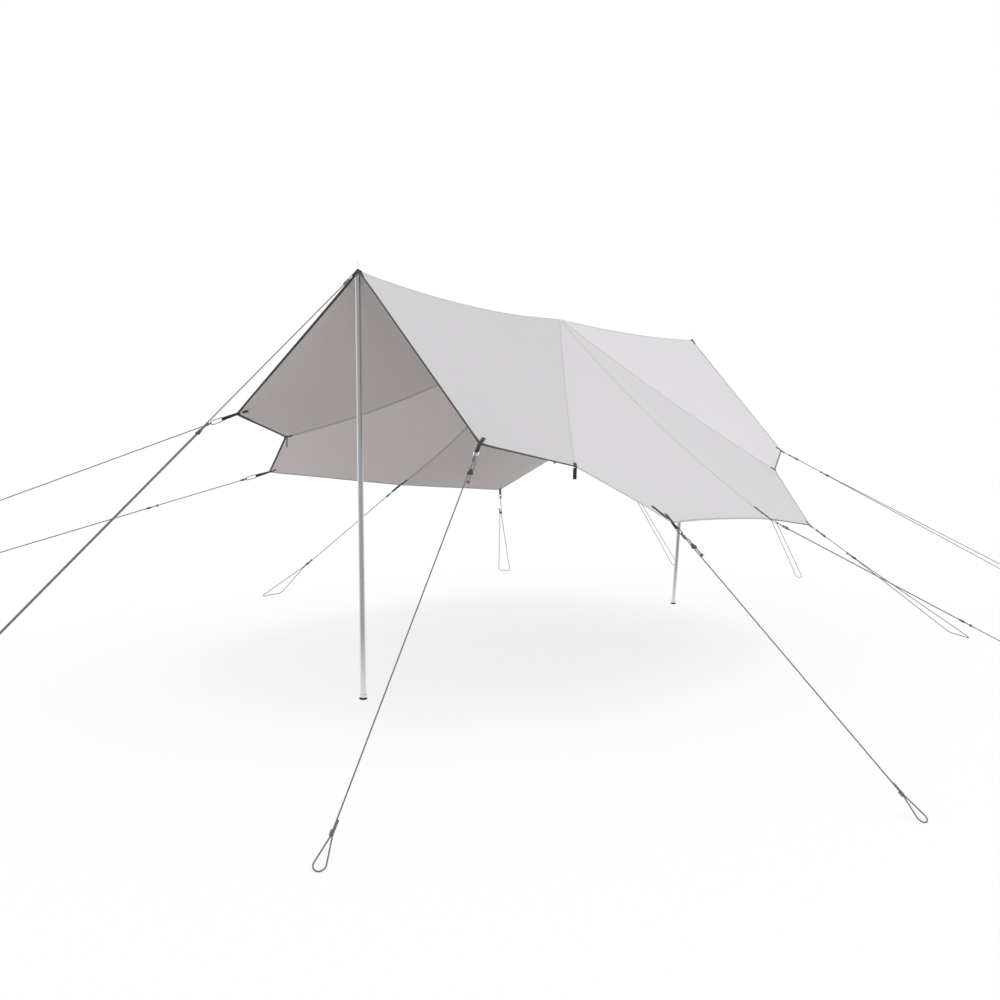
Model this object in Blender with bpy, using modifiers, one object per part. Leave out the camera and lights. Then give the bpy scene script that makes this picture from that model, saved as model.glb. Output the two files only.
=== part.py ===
"""A camping tarp as pitched: a ridged cloth on two poles, drawn out by twelve guy lines.

Metres, +Z up. The ground is z = 0 and the ridge runs along X. The near side of the cloth is -Y.
The cloth has eight panels that meet at the crown, in the middle of the ridge. Its outline is cut
in at four corners, where a webbing tab hangs, and is pulled out by a guy at every other corner.
"""

import math

import bmesh
import bpy
from mathutils import Matrix, Vector

# Driving dimensions
PEAK_HEIGHT = 2.400
FRONT_PEAK = (-2.095, 0.012, PEAK_HEIGHT)
REAR_PEAK = (2.100, -0.032, PEAK_HEIGHT)
CROWN = (-0.015, 0.024, 2.361)

# Corners of the cloth as it stands: along the ridge from the middle, out from the ridge, height
CORNERS = {
    "near_1": (-2.161, -0.909, 1.463),
    "near_2": (-1.579, -1.110, 1.352),
    "near_3": (-1.291, -1.551, 1.063),
    "near_m": (0.003, -1.609, 1.010),
    "near_4": (1.278, -1.438, 0.881),
    "near_5": (1.576, -1.040, 1.279),
    "near_6": (2.161, -0.872, 1.427),
    "far_1": (-2.198, 0.922, 1.602),
    "far_2": (-1.634, 1.125, 1.468),
    "far_3": (-1.381, 1.584, 1.210),
    "far_m": (0.012, 1.582, 1.076),
    "far_4": (1.315, 1.501, 0.999),
    "far_5": (1.597, 1.080, 1.325),
    "far_6": (2.170, 0.900, 1.500),
}

# How far each seam from the crown hangs below a straight line, at its middle
SEAM_SAG = {
    "front_peak": 0.052,
    "rear_peak": 0.026,
    "near_2": 0.070,
    "near_m": 0.075,
    "near_5": 0.030,
    "far_2": 0.095,
    "far_m": 0.095,
    "far_5": 0.060,
}

# How far the hems are drawn in at their middles, all but two of them by hardly anything
HEM_BOW = 0.001
BOWED_HEMS = {("near_2", "near_3"): 0.008, ("near_m", "near_3"): 0.020}

CLOTH_THICKNESS = 0.0022
CLOTH_STEPS = 11
SEAM_GAP = 0.0040
TAPE_WIDTH = 0.022
TAPE_THICKNESS = 0.0032
TAPE_STEPS = 5
FACE_GAP = 0.0004

# Poles: where each foot stands, and lengths along the leaning pole from the ground
POLE_FEET = {"front": (-2.064, -0.042), "rear": (2.061, 0.047)}
TUBE_RADIUS = 0.0165
TUBE_WALL = 0.0012
TUBE_JOINT_HEIGHT = 0.700
SPIGOT_LENGTH = 0.080
SPIGOT_CLEARANCE = 0.0005
SWAGE_LENGTH = 0.004
TUBE_CHAMFER = 0.0005
TUBE_TOP = 2.330
FOOT_RADIUS = 0.0225
FOOT_HEIGHT = 0.030
FOOT_SOLE = 0.012
FOOT_LIP = 0.0016
FOOT_BAND_HEIGHT = 0.016
FOOT_ROUNDING = 0.003
SOLE_TRIM = 0.0015
PIN_RADIUS = 0.0040
PIN_TOP = 2.456
PIN_FILLET = 0.0025
CONE_TOP = 2.385
CONE_BOTTOM = 2.366
PLUG_LENGTH = 0.043
ROUND_STEPS = 24

# Guys: ground end x and y, slider's distance from the corner, width of the loop at the ground
GUYS = {
    "front_peak": (-4.54, 0.44, 1.305, 0.016),
    "rear_peak": (4.60, -0.26, 1.310, 0.070),
    "near_1": (-3.72, -1.44, 0.200, 0.050),
    "near_3": (-1.90, -3.00, 0.190, 0.050),
    "near_m": (1.19, -3.24, 1.400, 0.060),
    "near_4": (2.32, -2.33, 0.463, 0.240),
    "near_6": (4.40, -3.00, 0.486, 0.280),
    "far_1": (-4.85, 3.97, 2.900, 0.090),
    "far_3": (-4.31, 3.97, 0.851, 0.020),
    "far_m": (-0.12, 3.02, 1.250, 0.240),
    "far_4": (2.70, 2.42, 0.481, 0.120),
    "far_6": (4.50, 1.20, 0.490, 0.070),
}
CORD_RADIUS = 0.0030
CORD_FLOOR_GAP = 0.0003
LOOP_CORNER_RADIUS = 0.035
LEGS_PARALLEL = 0.070
TAIL_LENGTH = 0.062
# Guys that are doubled from ring to slider and run single from there to a short loop
SINGLE_LINES = ("near_1", "near_3", "near_m")
SHORT_LOOP = 0.130
RETURN_START = 0.132
RETURN_TAIL = 0.068
RETURN_RADIUS = 0.004

# Corner straps and rings
STRAP_WIDTH = 0.020
PEAK_STRAP_WIDTH = 0.028
STRAP_THICKNESS = 0.0018
STRAP_LIFT = 0.0040
RIDGE_SLOPE = math.radians(44)
STRAP_OUT = 0.040
LONG_STRAP_OUT = {
    "near_4": 0.075,
    "near_6": 0.090,
    "far_1": 0.085,
    "far_3": 0.090,
    "far_m": 0.090,
    "far_4": 0.090,
    "far_6": 0.090,
}
STRAP_IN = {"peak": 0.028, "1": 0.045, "3": 0.110, "m": 0.150, "4": 0.060, "6": 0.045}
EYELET_RADIUS = 0.0070
RING_LENGTH = 0.048
LONG_RING_LENGTH = {"far_1": 0.075, "far_3": 0.075}
RING_WIDTH = 0.026
RING_WIRE = 0.0022
RING_CORNER = 0.007

# Line tensioners
HOLE_SPACING = 0.016
HOLE_RADIUS = 0.0040
SLIDER_THICKNESS = 0.0120
SLIDER_BASE = 0.033
SLIDER_TIP = 0.012
SLIDER_UP = 0.019
SLIDER_DOWN = 0.013
SLIDER_WINDOW_RADIUS = 0.0021
SLIDER_WINDOW_AT = 0.003
SLIDER_CORNER = 0.005
SLIDER_CHAMFER = 0.0012

# Hanging tabs at the inward corners
TAB_LENGTH = 0.064
TAB_WIDTH = 0.020
TAB_THICKNESS = 0.0024
TAB_ROLL_RADIUS = 0.0020
TAB_CORNER = 0.003
TAB_CHAMFER = 0.0004
TAB_DROP = 0.011
TAB_IN = 0.015

PEAK_TAPE_GAP = 0.016
MIDDLE_TAPE_GAP = 0.0006

PART_NAME = "camping_tarp"
SIDES = ("near", "far")
PEAKS = {
    "front_peak": Vector(FRONT_PEAK),
    "rear_peak": Vector(REAR_PEAK),
}
POINTS = {name: Vector(place) for name, place in CORNERS.items()}
POINTS.update(PEAKS)
POINTS["crown"] = Vector(CROWN)


# Scene and materials


def clear_scene():
    for old in list(bpy.data.objects):
        bpy.data.objects.remove(old, do_unlink=True)


def make_collection(name):
    collection = bpy.data.collections.new(name)
    bpy.context.scene.collection.children.link(collection)
    return collection


def make_material(name, colour, roughness, metallic=0.0):
    material = bpy.data.materials.new(name)
    material.use_nodes = True
    shader = material.node_tree.nodes["Principled BSDF"]
    shader.inputs["Base Color"].default_value = (*colour, 1.0)
    shader.inputs["Roughness"].default_value = roughness
    shader.inputs["Metallic"].default_value = metallic
    return material


def add_object(name, data, collection, material):
    made = bpy.data.objects.new(name, data)
    collection.objects.link(made)
    if material is not None:
        data.materials.clear()
        data.materials.append(material)
    return made


def curve_to_mesh(curve_object):
    """The mesh of a curve object, with its loose caps welded; the curve is removed."""
    graph = bpy.context.evaluated_depsgraph_get()
    mesh = bpy.data.meshes.new_from_object(curve_object.evaluated_get(graph))
    work = bmesh.new()
    work.from_mesh(mesh)
    bmesh.ops.remove_doubles(work, verts=work.verts, dist=0.00001)
    work.to_mesh(mesh)
    work.free()
    bpy.data.objects.remove(curve_object, do_unlink=True)
    return mesh


def applied_mesh(made):
    """The mesh of an object with its modifiers applied."""
    graph = bpy.context.evaluated_depsgraph_get()
    return bpy.data.meshes.new_from_object(made.evaluated_get(graph))


def add_boolean(target, other, operation):
    boolean = target.modifiers.new(f"{operation.lower()} {other.name}", "BOOLEAN")
    boolean.operation = operation
    boolean.solver = "EXACT"
    boolean.object = other


def hide_cutter(cutter):
    cutter.hide_render = True
    cutter.display_type = "WIRE"


# Cloth surfaces


def sagging_line(start, end, sag, at):
    """A point at 0..1 along a line that hangs below the straight by `sag` at its middle."""
    point = start.lerp(end, at)
    point.z -= 4.0 * sag * at * (1.0 - at)
    return point


def bowed_line(start, end, inward, at):
    """A point at 0..1 along a hem, drawn in by the length of `inward` at its middle."""
    return start.lerp(end, at) + inward * (4.0 * at * (1.0 - at))


class Panel:
    """A four-sided piece of cloth: the crown, a corner on each seam, and the outer corner.

    u runs from the crown along the first seam and v along the second, so that the hems are
    u = 1 and v = 1. The surface is the blend of its four edges.
    """

    def __init__(self, first, outer, second):
        self.names = (first, outer, second)
        self.crown = POINTS["crown"]
        self.first = POINTS[first]
        self.outer = POINTS[outer]
        self.second = POINTS[second]
        self.first_sag = SEAM_SAG[first]
        self.second_sag = SEAM_SAG[second]
        self.in_first = self.bow(first)
        self.in_second = self.bow(second)

    def bow(self, inner):
        """How the hem from the corner `inner` to the outer corner is drawn in at its middle."""
        amount = BOWED_HEMS.get((inner, self.names[1]), HEM_BOW)
        return (self.crown - POINTS[inner].lerp(self.outer, 0.5)).normalized() * amount

    def point(self, u, v):
        low = sagging_line(self.crown, self.first, self.first_sag, u)
        high = bowed_line(self.second, self.outer, self.in_second, u)
        left = sagging_line(self.crown, self.second, self.second_sag, v)
        right = bowed_line(self.first, self.outer, self.in_first, v)
        across = low.lerp(high, v)
        along = left.lerp(right, u)
        corners = self.crown.lerp(self.first, u).lerp(self.second.lerp(self.outer, u), v)
        return across + along - corners

    def step_u(self, v, distance):
        """`distance` along u, as a fraction of the panel's length there."""
        near = (self.first - self.crown).length
        far = (self.outer - self.second).length
        return distance / (near + (far - near) * v)

    def step_v(self, u, distance):
        near = (self.second - self.crown).length
        far = (self.outer - self.first).length
        return distance / (near + (far - near) * u)

    def normal(self, u, v):
        """The upward unit normal, by small steps towards the crown."""
        small = 0.002
        along_u = self.point(u, v) - self.point(u - small, v)
        along_v = self.point(u, v) - self.point(u, v - small)
        normal = along_u.cross(along_v).normalized()
        return normal if normal.z > 0 else -normal


def make_panels():
    """The eight panels, keyed by their outer corner."""
    panels = {}
    for side in SIDES:
        ring = ["front_peak"] + [f"{side}_{k}" for k in "123m456"] + ["rear_peak"]
        for start in range(0, 8, 2):
            first, outer, second = ring[start : start + 3]
            panels[outer] = Panel(first, outer, second)
    return panels


def add_surface(name, columns, rows, place, thickness, collection, material):
    """A grid whose points are put by place(0..1, 0..1), thickened both ways by Solidify."""
    mesh = bpy.data.meshes.new(name)
    work = bmesh.new()
    bmesh.ops.create_grid(work, x_segments=columns, y_segments=rows, size=0.5)
    for vert in work.verts:
        vert.co = place(vert.co.x + 0.5, vert.co.y + 0.5)
    work.to_mesh(mesh)
    work.free()
    made = add_object(name, mesh, collection, material)
    shell = made.modifiers.new("thickness", "SOLIDIFY")
    shell.thickness = thickness
    shell.offset = 0.0
    shell.use_even_offset = True
    mesh.shade_smooth()
    return made


def add_cloth_panel(name, panel, collection, material):
    """A panel's cloth, from just beside its seams to just inside the hem tape."""

    def place(a, b):
        seam_u = panel.step_u(b, SEAM_GAP / 2)
        seam_v = panel.step_v(a, SEAM_GAP / 2)
        hem_u = panel.step_u(b, TAPE_WIDTH + FACE_GAP)
        hem_v = panel.step_v(a, TAPE_WIDTH + FACE_GAP)
        u = seam_u + a * (1.0 - hem_u - seam_u)
        v = seam_v + b * (1.0 - hem_v - seam_v)
        return panel.point(u, v)

    return add_surface(name, CLOTH_STEPS, CLOTH_STEPS, place, CLOTH_THICKNESS, collection, material)


def hem_stations(panel):
    """Pairs of outer and inner points of the tape round one panel, from its first corner on."""
    pairs = []
    for k in range(TAPE_STEPS + 1):
        v = k / TAPE_STEPS
        inner_v = min(v, 1.0 - panel.step_v(1.0, TAPE_WIDTH))
        inner_u = 1.0 - panel.step_u(v, TAPE_WIDTH)
        pairs.append((panel.point(1.0, v), panel.point(inner_u, inner_v)))
    for k in range(1, TAPE_STEPS + 1):
        u = 1.0 - k / TAPE_STEPS
        inner_u = min(u, 1.0 - panel.step_u(1.0, TAPE_WIDTH))
        inner_v = 1.0 - panel.step_v(u, TAPE_WIDTH)
        pairs.append((panel.point(u, 1.0), panel.point(inner_u, inner_v)))
    return pairs


def drawn_back(pair, towards, distance):
    """A pair of tape points moved along the hem by `distance`."""
    return tuple(p + (q - p).normalized() * distance for p, q in zip(pair, towards))


def add_hem_tape(name, first, second, end_gaps, collection, material):
    """The tape along the hems of two neighbouring panels, in one length."""
    pairs = hem_stations(first)[:-1] + hem_stations(second)
    pairs[0] = drawn_back(pairs[0], pairs[1], end_gaps[0])
    pairs[-1] = drawn_back(pairs[-1], pairs[-2], end_gaps[1])
    last = len(pairs) - 1

    def place(a, b):
        outer, inner = pairs[round(a * last)]
        return outer.lerp(inner, b)

    return add_surface(name, last, 1, place, TAPE_THICKNESS, collection, material)


# Frames of the guys


def guy_frame(name):
    """The matrix at a guyed corner: X down the line, Y level across it, Z up from their plane."""
    end_x, end_y, _, _ = GUYS[name]
    start = POINTS[name]
    end = Vector((end_x, end_y, CORD_RADIUS + CORD_FLOOR_GAP))
    down = (end - start).normalized()
    across = Vector((0.0, 0.0, 1.0)).cross(down).normalized()
    up = down.cross(across)
    turn = Matrix((down, across, up)).transposed().to_4x4()
    return Matrix.Translation(start) @ turn, (end - start).length


# Poles


def pole_matrix(end):
    """A pole's place: its foot on the ground, and Z from there to the cloth's peak."""
    foot = Vector((*POLE_FEET[end], 0.0))
    upward = (PEAKS[f"{end}_peak"] - foot).normalized()
    return Matrix.Translation(foot) @ upward.to_track_quat("Z", "Y").to_matrix().to_4x4()


def add_turned(name, profile, collection, material, place):
    """A profile of radius and height, spun round Z. It runs down its outer side."""
    mesh = bpy.data.meshes.new(name)
    work = bmesh.new()
    verts = [work.verts.new((radius, 0.0, height)) for radius, height in profile]
    closed = profile[0][0] > 0.0
    for k in range(len(verts) - (0 if closed else 1)):
        work.edges.new((verts[k], verts[(k + 1) % len(verts)]))
    work.to_mesh(mesh)
    work.free()
    made = add_object(name, mesh, collection, material)
    spin = made.modifiers.new("spin", "SCREW")
    spin.steps = ROUND_STEPS
    spin.render_steps = ROUND_STEPS
    spin.use_merge_vertices = True
    spin.merge_threshold = 0.00005
    made.matrix_world = place
    return made


def foot_profile():
    """The rubber foot, a little too long, because the ground's plane is cut from it."""
    inner = TUBE_RADIUS + SPIGOT_CLEARANCE
    return [
        (0.0, FOOT_SOLE),
        (inner, FOOT_SOLE),
        (inner, FOOT_HEIGHT),
        (inner + FOOT_LIP, FOOT_HEIGHT),
        (FOOT_RADIUS - FOOT_LIP, FOOT_HEIGHT - 2 * FOOT_LIP),
        (FOOT_RADIUS - FOOT_LIP, FOOT_BAND_HEIGHT),
        (FOOT_RADIUS, FOOT_SOLE),
        (FOOT_RADIUS, FOOT_ROUNDING),
        (FOOT_RADIUS - FOOT_ROUNDING, -SOLE_TRIM),
        (0.0, -SOLE_TRIM),
    ]


def lower_tube_profile():
    bottom = FOOT_SOLE + FACE_GAP
    spigot = TUBE_RADIUS - TUBE_WALL - SPIGOT_CLEARANCE
    bore = spigot - TUBE_WALL
    top = TUBE_JOINT_HEIGHT + SPIGOT_LENGTH
    return [
        (spigot - TUBE_CHAMFER, top),
        (spigot, top - TUBE_CHAMFER),
        (spigot, TUBE_JOINT_HEIGHT),
        (TUBE_RADIUS - TUBE_CHAMFER, TUBE_JOINT_HEIGHT - TUBE_CHAMFER),
        (TUBE_RADIUS, TUBE_JOINT_HEIGHT - SWAGE_LENGTH),
        (TUBE_RADIUS, bottom),
        (bore, bottom),
        (bore, top),
    ]


def upper_tube_profile():
    bottom = TUBE_JOINT_HEIGHT + FACE_GAP
    bore = TUBE_RADIUS - TUBE_WALL
    return [
        (TUBE_RADIUS - TUBE_CHAMFER, TUBE_TOP),
        (TUBE_RADIUS, TUBE_TOP - TUBE_CHAMFER),
        (TUBE_RADIUS, bottom + TUBE_CHAMFER),
        (TUBE_RADIUS - TUBE_CHAMFER, bottom),
        (bore, bottom),
        (bore, TUBE_TOP),
    ]


def pin_profile():
    """End plug, shoulder cone and round-nosed pin, which runs down from the pin's nose."""
    plug = TUBE_RADIUS - TUBE_WALL - SPIGOT_CLEARANCE
    seat = TUBE_TOP + FACE_GAP
    nose = [
        (PIN_RADIUS * math.sin(turn), PIN_TOP - PIN_RADIUS + PIN_RADIUS * math.cos(turn))
        for turn in (math.radians(30 * k) for k in range(4))
    ]
    return nose + [
        (PIN_RADIUS, CONE_TOP + 2 * PIN_FILLET),
        (PIN_RADIUS + PIN_FILLET, CONE_TOP),
        (TUBE_RADIUS - 2 * TUBE_CHAMFER, CONE_BOTTOM),
        (TUBE_RADIUS, CONE_BOTTOM - 4 * TUBE_CHAMFER),
        (TUBE_RADIUS, seat),
        (plug, seat),
        (plug, TUBE_TOP - PLUG_LENGTH + 2 * TUBE_CHAMFER),
        (plug - 2 * TUBE_CHAMFER, TUBE_TOP - PLUG_LENGTH),
        (0.0, TUBE_TOP - PLUG_LENGTH),
    ]


def add_ground_cutter(collection):
    """A block under the ground, which trims the leaning poles' feet level."""
    mesh = bpy.data.meshes.new("ground")
    work = bmesh.new()
    bmesh.ops.create_cube(work, size=1.0)
    work.to_mesh(mesh)
    work.free()
    block = add_object("ground", mesh, collection, None)
    block.scale = (REAR_PEAK[0] - FRONT_PEAK[0] + 1.0, 1.0, 1.0)
    block.location = (0.0, 0.0, -0.5)
    hide_cutter(block)
    return block


def add_pole(end, ground, collection, looks):
    place = pole_matrix(end)
    pieces = (
        ("foot", foot_profile(), looks["rubber"]),
        ("lower_tube", lower_tube_profile(), looks["tube"]),
        ("upper_tube", upper_tube_profile(), looks["tube"]),
        ("pin", pin_profile(), looks["pin"]),
    )
    for piece, profile, material in pieces:
        made = add_turned(f"{end}_pole_{piece}", profile, collection, material, place)
        if piece == "foot":
            add_boolean(made, ground, "DIFFERENCE")


# Outlines


def arc(centre_x, centre_y, radius, first, last, steps):
    """Points along an arc, its angles in degrees."""
    turns = [math.radians(first + (last - first) * k / steps) for k in range(steps + 1)]
    return [(centre_x + radius * math.cos(t), centre_y + radius * math.sin(t)) for t in turns]


def rounded(corners, radius, steps=3):
    """A closed outline with each corner replaced by a round stretch."""
    outline = []
    count = len(corners)
    for k in range(count):
        corner = Vector(corners[k])
        before = corner + (Vector(corners[k - 1]) - corner).normalized() * radius
        after = corner + (Vector(corners[(k + 1) % count]) - corner).normalized() * radius
        for step in range(steps + 1):
            t = step / steps
            outline.append(before.lerp(corner, t).lerp(corner.lerp(after, t), t))
    return [tuple(point) for point in outline]


def poly_curve(name, points, cyclic, depth, dimensions="3D"):
    """A straight-edged curve through points in its own XY plane."""
    curve = bpy.data.curves.new(name, "CURVE")
    curve.dimensions = dimensions
    spline = curve.splines.new("POLY")
    spline.points.add(len(points) - 1)
    for slot, (x, y) in zip(spline.points, points):
        slot.co = (x, y, 0.0, 1.0)
    spline.use_cyclic_u = cyclic
    spline.use_smooth = True
    curve.bevel_depth = depth
    return curve


def plate_mesh(name, outline, thickness, edge):
    """A flat plate of the given outline, with its edges chamfered by `edge`."""
    curve = poly_curve(name, outline, True, edge, "2D")
    curve.fill_mode = "BOTH"
    curve.extrude = thickness / 2 - edge
    curve.offset = -edge
    curve.bevel_resolution = 0
    return curve_to_mesh(add_object(name, curve, bpy.context.scene.collection, None))


def add_cylinder(name, radius, depth, matrix, collection, sides=16):
    mesh = bpy.data.meshes.new(name)
    work = bmesh.new()
    bmesh.ops.create_cone(
        work, cap_ends=True, segments=sides, radius1=radius, radius2=radius, depth=depth
    )
    work.to_mesh(mesh)
    work.free()
    cylinder = add_object(name, mesh, collection, None)
    cylinder.matrix_world = matrix
    hide_cutter(cylinder)
    return cylinder


# Corner straps and rings


def ring_mesh(length):
    """An oblong ring: a straight bar with round corners at the strap, a half circle at the line."""
    half = RING_WIDTH / 2
    near_centre = RING_CORNER
    far_centre = length - half
    path = arc(near_centre, half - RING_CORNER, RING_CORNER, 180, 90, 2)
    path += arc(far_centre, 0.0, half, 90, -90, 6)
    path += arc(near_centre, RING_CORNER - half, RING_CORNER, -90, -180, 2)
    curve = poly_curve("ring", path, True, RING_WIRE)
    curve.bevel_resolution = 1
    return curve_to_mesh(add_object("ring", curve, bpy.context.scene.collection, None))


def strap_out(name):
    """How far a strap reaches out from its corner to its ring."""
    return LONG_STRAP_OUT.get(name, STRAP_OUT)


def ring_length(name):
    return LONG_RING_LENGTH.get(name, RING_LENGTH)


def peak_strap_stations(name):
    """Strap stations over the ridge's end: centre, across vector, and drop of its edges."""
    frame, _ = guy_frame(name)
    corner = POINTS[name]
    line = frame.col[0].xyz
    across = frame.col[1].xyz
    lift = Vector((0.0, 0.0, STRAP_LIFT / math.cos(RIDGE_SLOPE)))
    inward = (POINTS["crown"] - corner).normalized()
    side = Vector((0.0, math.copysign(1.0, across.y), 0.0))
    span = side * (PEAK_STRAP_WIDTH * math.cos(RIDGE_SLOPE))
    drop = PEAK_STRAP_WIDTH / 2 * math.sin(RIDGE_SLOPE)
    stations = []
    for share in (1.0, 0.66, 0.33, 0.0, -0.12):
        stations.append((corner + inward * (STRAP_IN["peak"] * share) + lift, span, drop))
    for share, fold in ((0.55, 0.35), (0.8, 0.0), (1.0, 0.0)):
        centre = corner + line * (STRAP_OUT * share) + lift * (1.0 - share)
        stations.append((centre, across * STRAP_WIDTH, drop * fold))
    return stations


def corner_strap_stations(name, panels):
    """Strap stations from the cloth over the hem to the ring, for a corner of the hem."""
    frame, _ = guy_frame(name)
    corner = POINTS[name]
    line = frame.col[0].xyz
    across = frame.col[1].xyz
    panel = panels.get(name) or next(p for p in panels.values() if p.names[0] == name)
    reach = STRAP_IN[name[-1]]
    stations = []
    for share in (1.0, 0.66, 0.33, 0.0):
        if name in panels:
            leg = reach * share * math.sqrt(0.5)
            at = (1.0 - panel.step_u(1.0, leg), 1.0 - panel.step_v(1.0, leg))
            before = (at[0] - 0.01, at[1] - 0.01)
        else:
            at = (1.0 - panel.step_u(0.0, reach * share), 0.0)
            before = (at[0] - 0.01, 0.0)
        normal = panel.normal(*at)
        heading = panel.point(*at) - panel.point(*before)
        side = normal.cross(heading).normalized()
        side = side if side.dot(across) > 0 else -side
        stations.append((panel.point(*at) + normal * STRAP_LIFT, side * STRAP_WIDTH, 0.0))
    lift = panel.normal(*at) * STRAP_LIFT
    for share in (0.45, 0.75, 1.0):
        centre = corner + line * (strap_out(name) * share) + lift * (1.0 - share)
        side = stations[3][1].lerp(across * STRAP_WIDTH, min(1.0, share / 0.75))
        stations.append((centre, side.normalized() * STRAP_WIDTH, 0.0))
    return stations


def add_corner_strap(name, stations, ring, collection, cutters, material):
    """A webbing strap as a ribbon through its stations, joined to its ring."""
    frame, _ = guy_frame(name)
    last = len(stations) - 1
    down = Vector((0.0, 0.0, -1.0))

    def place(a, b):
        centre, across, drop = stations[round(a * last)]
        return centre + across * (b - 0.5) + down * (drop * abs(2.0 * b - 1.0))

    columns = 2 if name in PEAKS else 1
    strap = add_surface(
        f"{name}_strap", last, columns, place, STRAP_THICKNESS, collection, material
    )
    tool = add_object(f"{name}_ring_tool", ring, cutters, None)
    tool.matrix_world = frame @ Matrix.Translation((strap_out(name), 0.0, 0.0))
    hide_cutter(tool)
    add_boolean(strap, tool, "UNION")
    if name in PEAKS:
        upright = Matrix.Translation(POINTS[name])
        hole = add_cylinder(f"{name}_eyelet", EYELET_RADIUS, 0.060, upright, cutters)
        add_boolean(strap, hole, "DIFFERENCE")


# Guys and tensioners


def ground_loop(length, low, width):
    """The loop at a guy's ground end, from its low side round to its high side."""
    high = low + width
    radius = min(LOOP_CORNER_RADIUS, width / 2)
    turn = length - radius
    loop = arc(turn, low + radius, radius, -90, 0, 4)
    closing = arc(turn, high - radius, radius, 0, 90, 4)
    return loop + (closing if width > 2 * LOOP_CORNER_RADIUS else closing[1:])


def doubled_route(slider_at, length, width, start):
    """From the ring through the slider, down one leg, round the loop and up the other leg.

    It goes back through the slider's second hole to a short tail.
    """
    split = slider_at + LEGS_PARALLEL
    bend = split - LEGS_PARALLEL / 2
    first_leg = [(start, 0.0), (bend, 0.0), (split, 0.0)]
    second_leg = [
        (split, HOLE_SPACING),
        (bend, HOLE_SPACING),
        (slider_at - TAIL_LENGTH, HOLE_SPACING),
    ]
    return first_leg + ground_loop(length, (HOLE_SPACING - width) / 2, width) + second_leg


def single_route(slider_at, length, width, start):
    """From a tail through the slider to the ring, back through the slider and down to a loop."""
    neck = length - SHORT_LOOP
    beside = 2 * CORD_RADIUS + FACE_GAP
    top = start + CORD_RADIUS + RETURN_RADIUS
    back = [(slider_at + RETURN_TAIL, HOLE_SPACING), (RETURN_START, HOLE_SPACING)]
    turn = arc(top, RETURN_RADIUS, RETURN_RADIUS, 90, 270, 4)
    end = [(neck, beside), (neck - TAIL_LENGTH, beside)]
    return back + turn + [(neck, 0.0)] + ground_loop(length, -width / 2, width) + end


def guy_route(name):
    """A cord's route in its guy's frame, as points along the line and across it."""
    _, length = guy_frame(name)
    _, _, slider_at, width = GUYS[name]
    start = strap_out(name) + ring_length(name) + RING_WIRE + 2 * FACE_GAP
    route = single_route if name in SINGLE_LINES else doubled_route
    return route(slider_at, length, width, start)


def add_guy(name, collection, material):
    curve = poly_curve(f"{name}_guy", guy_route(name), False, CORD_RADIUS)
    curve.bevel_resolution = 2
    curve.use_fill_caps = True
    cord = add_object(f"{name}_guy", curve, collection, material)
    cord.matrix_world = guy_frame(name)[0]


def slider_matrix(name):
    """A slider's place: its origin is on the line, in the middle of the hole that runs on it."""
    frame, _ = guy_frame(name)
    return frame @ Matrix.Translation((GUYS[name][2], 0.0, 0.0))


def slider_mesh(cutters):
    """A three-sided plate with two holes along its height for the cord, and a window between."""
    middle = HOLE_SPACING / 2
    outline = rounded(
        [
            (SLIDER_DOWN, middle - SLIDER_BASE / 2),
            (SLIDER_DOWN, middle + SLIDER_BASE / 2),
            (-SLIDER_UP, middle + SLIDER_TIP / 2),
            (-SLIDER_UP, middle - SLIDER_TIP / 2),
        ],
        SLIDER_CORNER,
    )
    blank = plate_mesh("slider", outline, SLIDER_THICKNESS, SLIDER_CHAMFER)
    plate = add_object("slider_blank", blank, cutters, None)
    hide_cutter(plate)
    lengthwise = Matrix.Rotation(math.radians(90), 4, "Y")
    for across in (0.0, HOLE_SPACING):
        place = Matrix.Translation((0.0, across, 0.0)) @ lengthwise
        hole = add_cylinder("cord_hole", HOLE_RADIUS, 0.080, place, cutters, 12)
        add_boolean(plate, hole, "DIFFERENCE")
    place = Matrix.Translation((SLIDER_WINDOW_AT, middle, 0.0))
    window = add_cylinder("slider_window", SLIDER_WINDOW_RADIUS, 0.040, place, cutters, 12)
    add_boolean(plate, window, "DIFFERENCE")
    return applied_mesh(plate)


# Hanging tabs


def tab_matrix(name, panels):
    """A tab's hinge: X level along the hem, Y up, at the underside of the seam."""
    side, number = name.split("_")
    before = POINTS[f"{side}_{int(number) - 1}"]
    after = POINTS[f"{side}_{int(number) + 1}"]
    panel = next(p for p in panels.values() if name in (p.names[0], p.names[2]))
    if panel.names[0] == name:
        place = panel.point(1.0 - panel.step_u(0.0, TAB_IN), 0.0)
    else:
        place = panel.point(0.0, 1.0 - panel.step_v(0.0, TAB_IN))
    level = (after - before).normalized()
    level.z = 0.0
    level.normalize()
    up = Vector((0.0, 0.0, 1.0))
    turn = Matrix((level, up, level.cross(up))).transposed().to_4x4()
    return Matrix.Translation(place - up * TAB_DROP) @ turn


def tab_mesh(cutters):
    """A strip of doubled webbing that hangs from a roll round its hinge line."""
    half = TAB_WIDTH / 2
    outline = rounded(
        [(-half, 0.0), (half, 0.0), (half, -TAB_LENGTH), (-half, -TAB_LENGTH)], TAB_CORNER
    )
    blank = plate_mesh("tab", outline, TAB_THICKNESS, TAB_CHAMFER)
    strip = add_object("tab_blank", blank, cutters, None)
    hide_cutter(strip)
    lengthwise = Matrix.Rotation(math.radians(90), 4, "Y")
    roll = add_cylinder("tab_roll", TAB_ROLL_RADIUS, TAB_WIDTH, lengthwise, cutters, 12)
    add_boolean(strip, roll, "UNION")
    return applied_mesh(strip)


# The whole tarp


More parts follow.
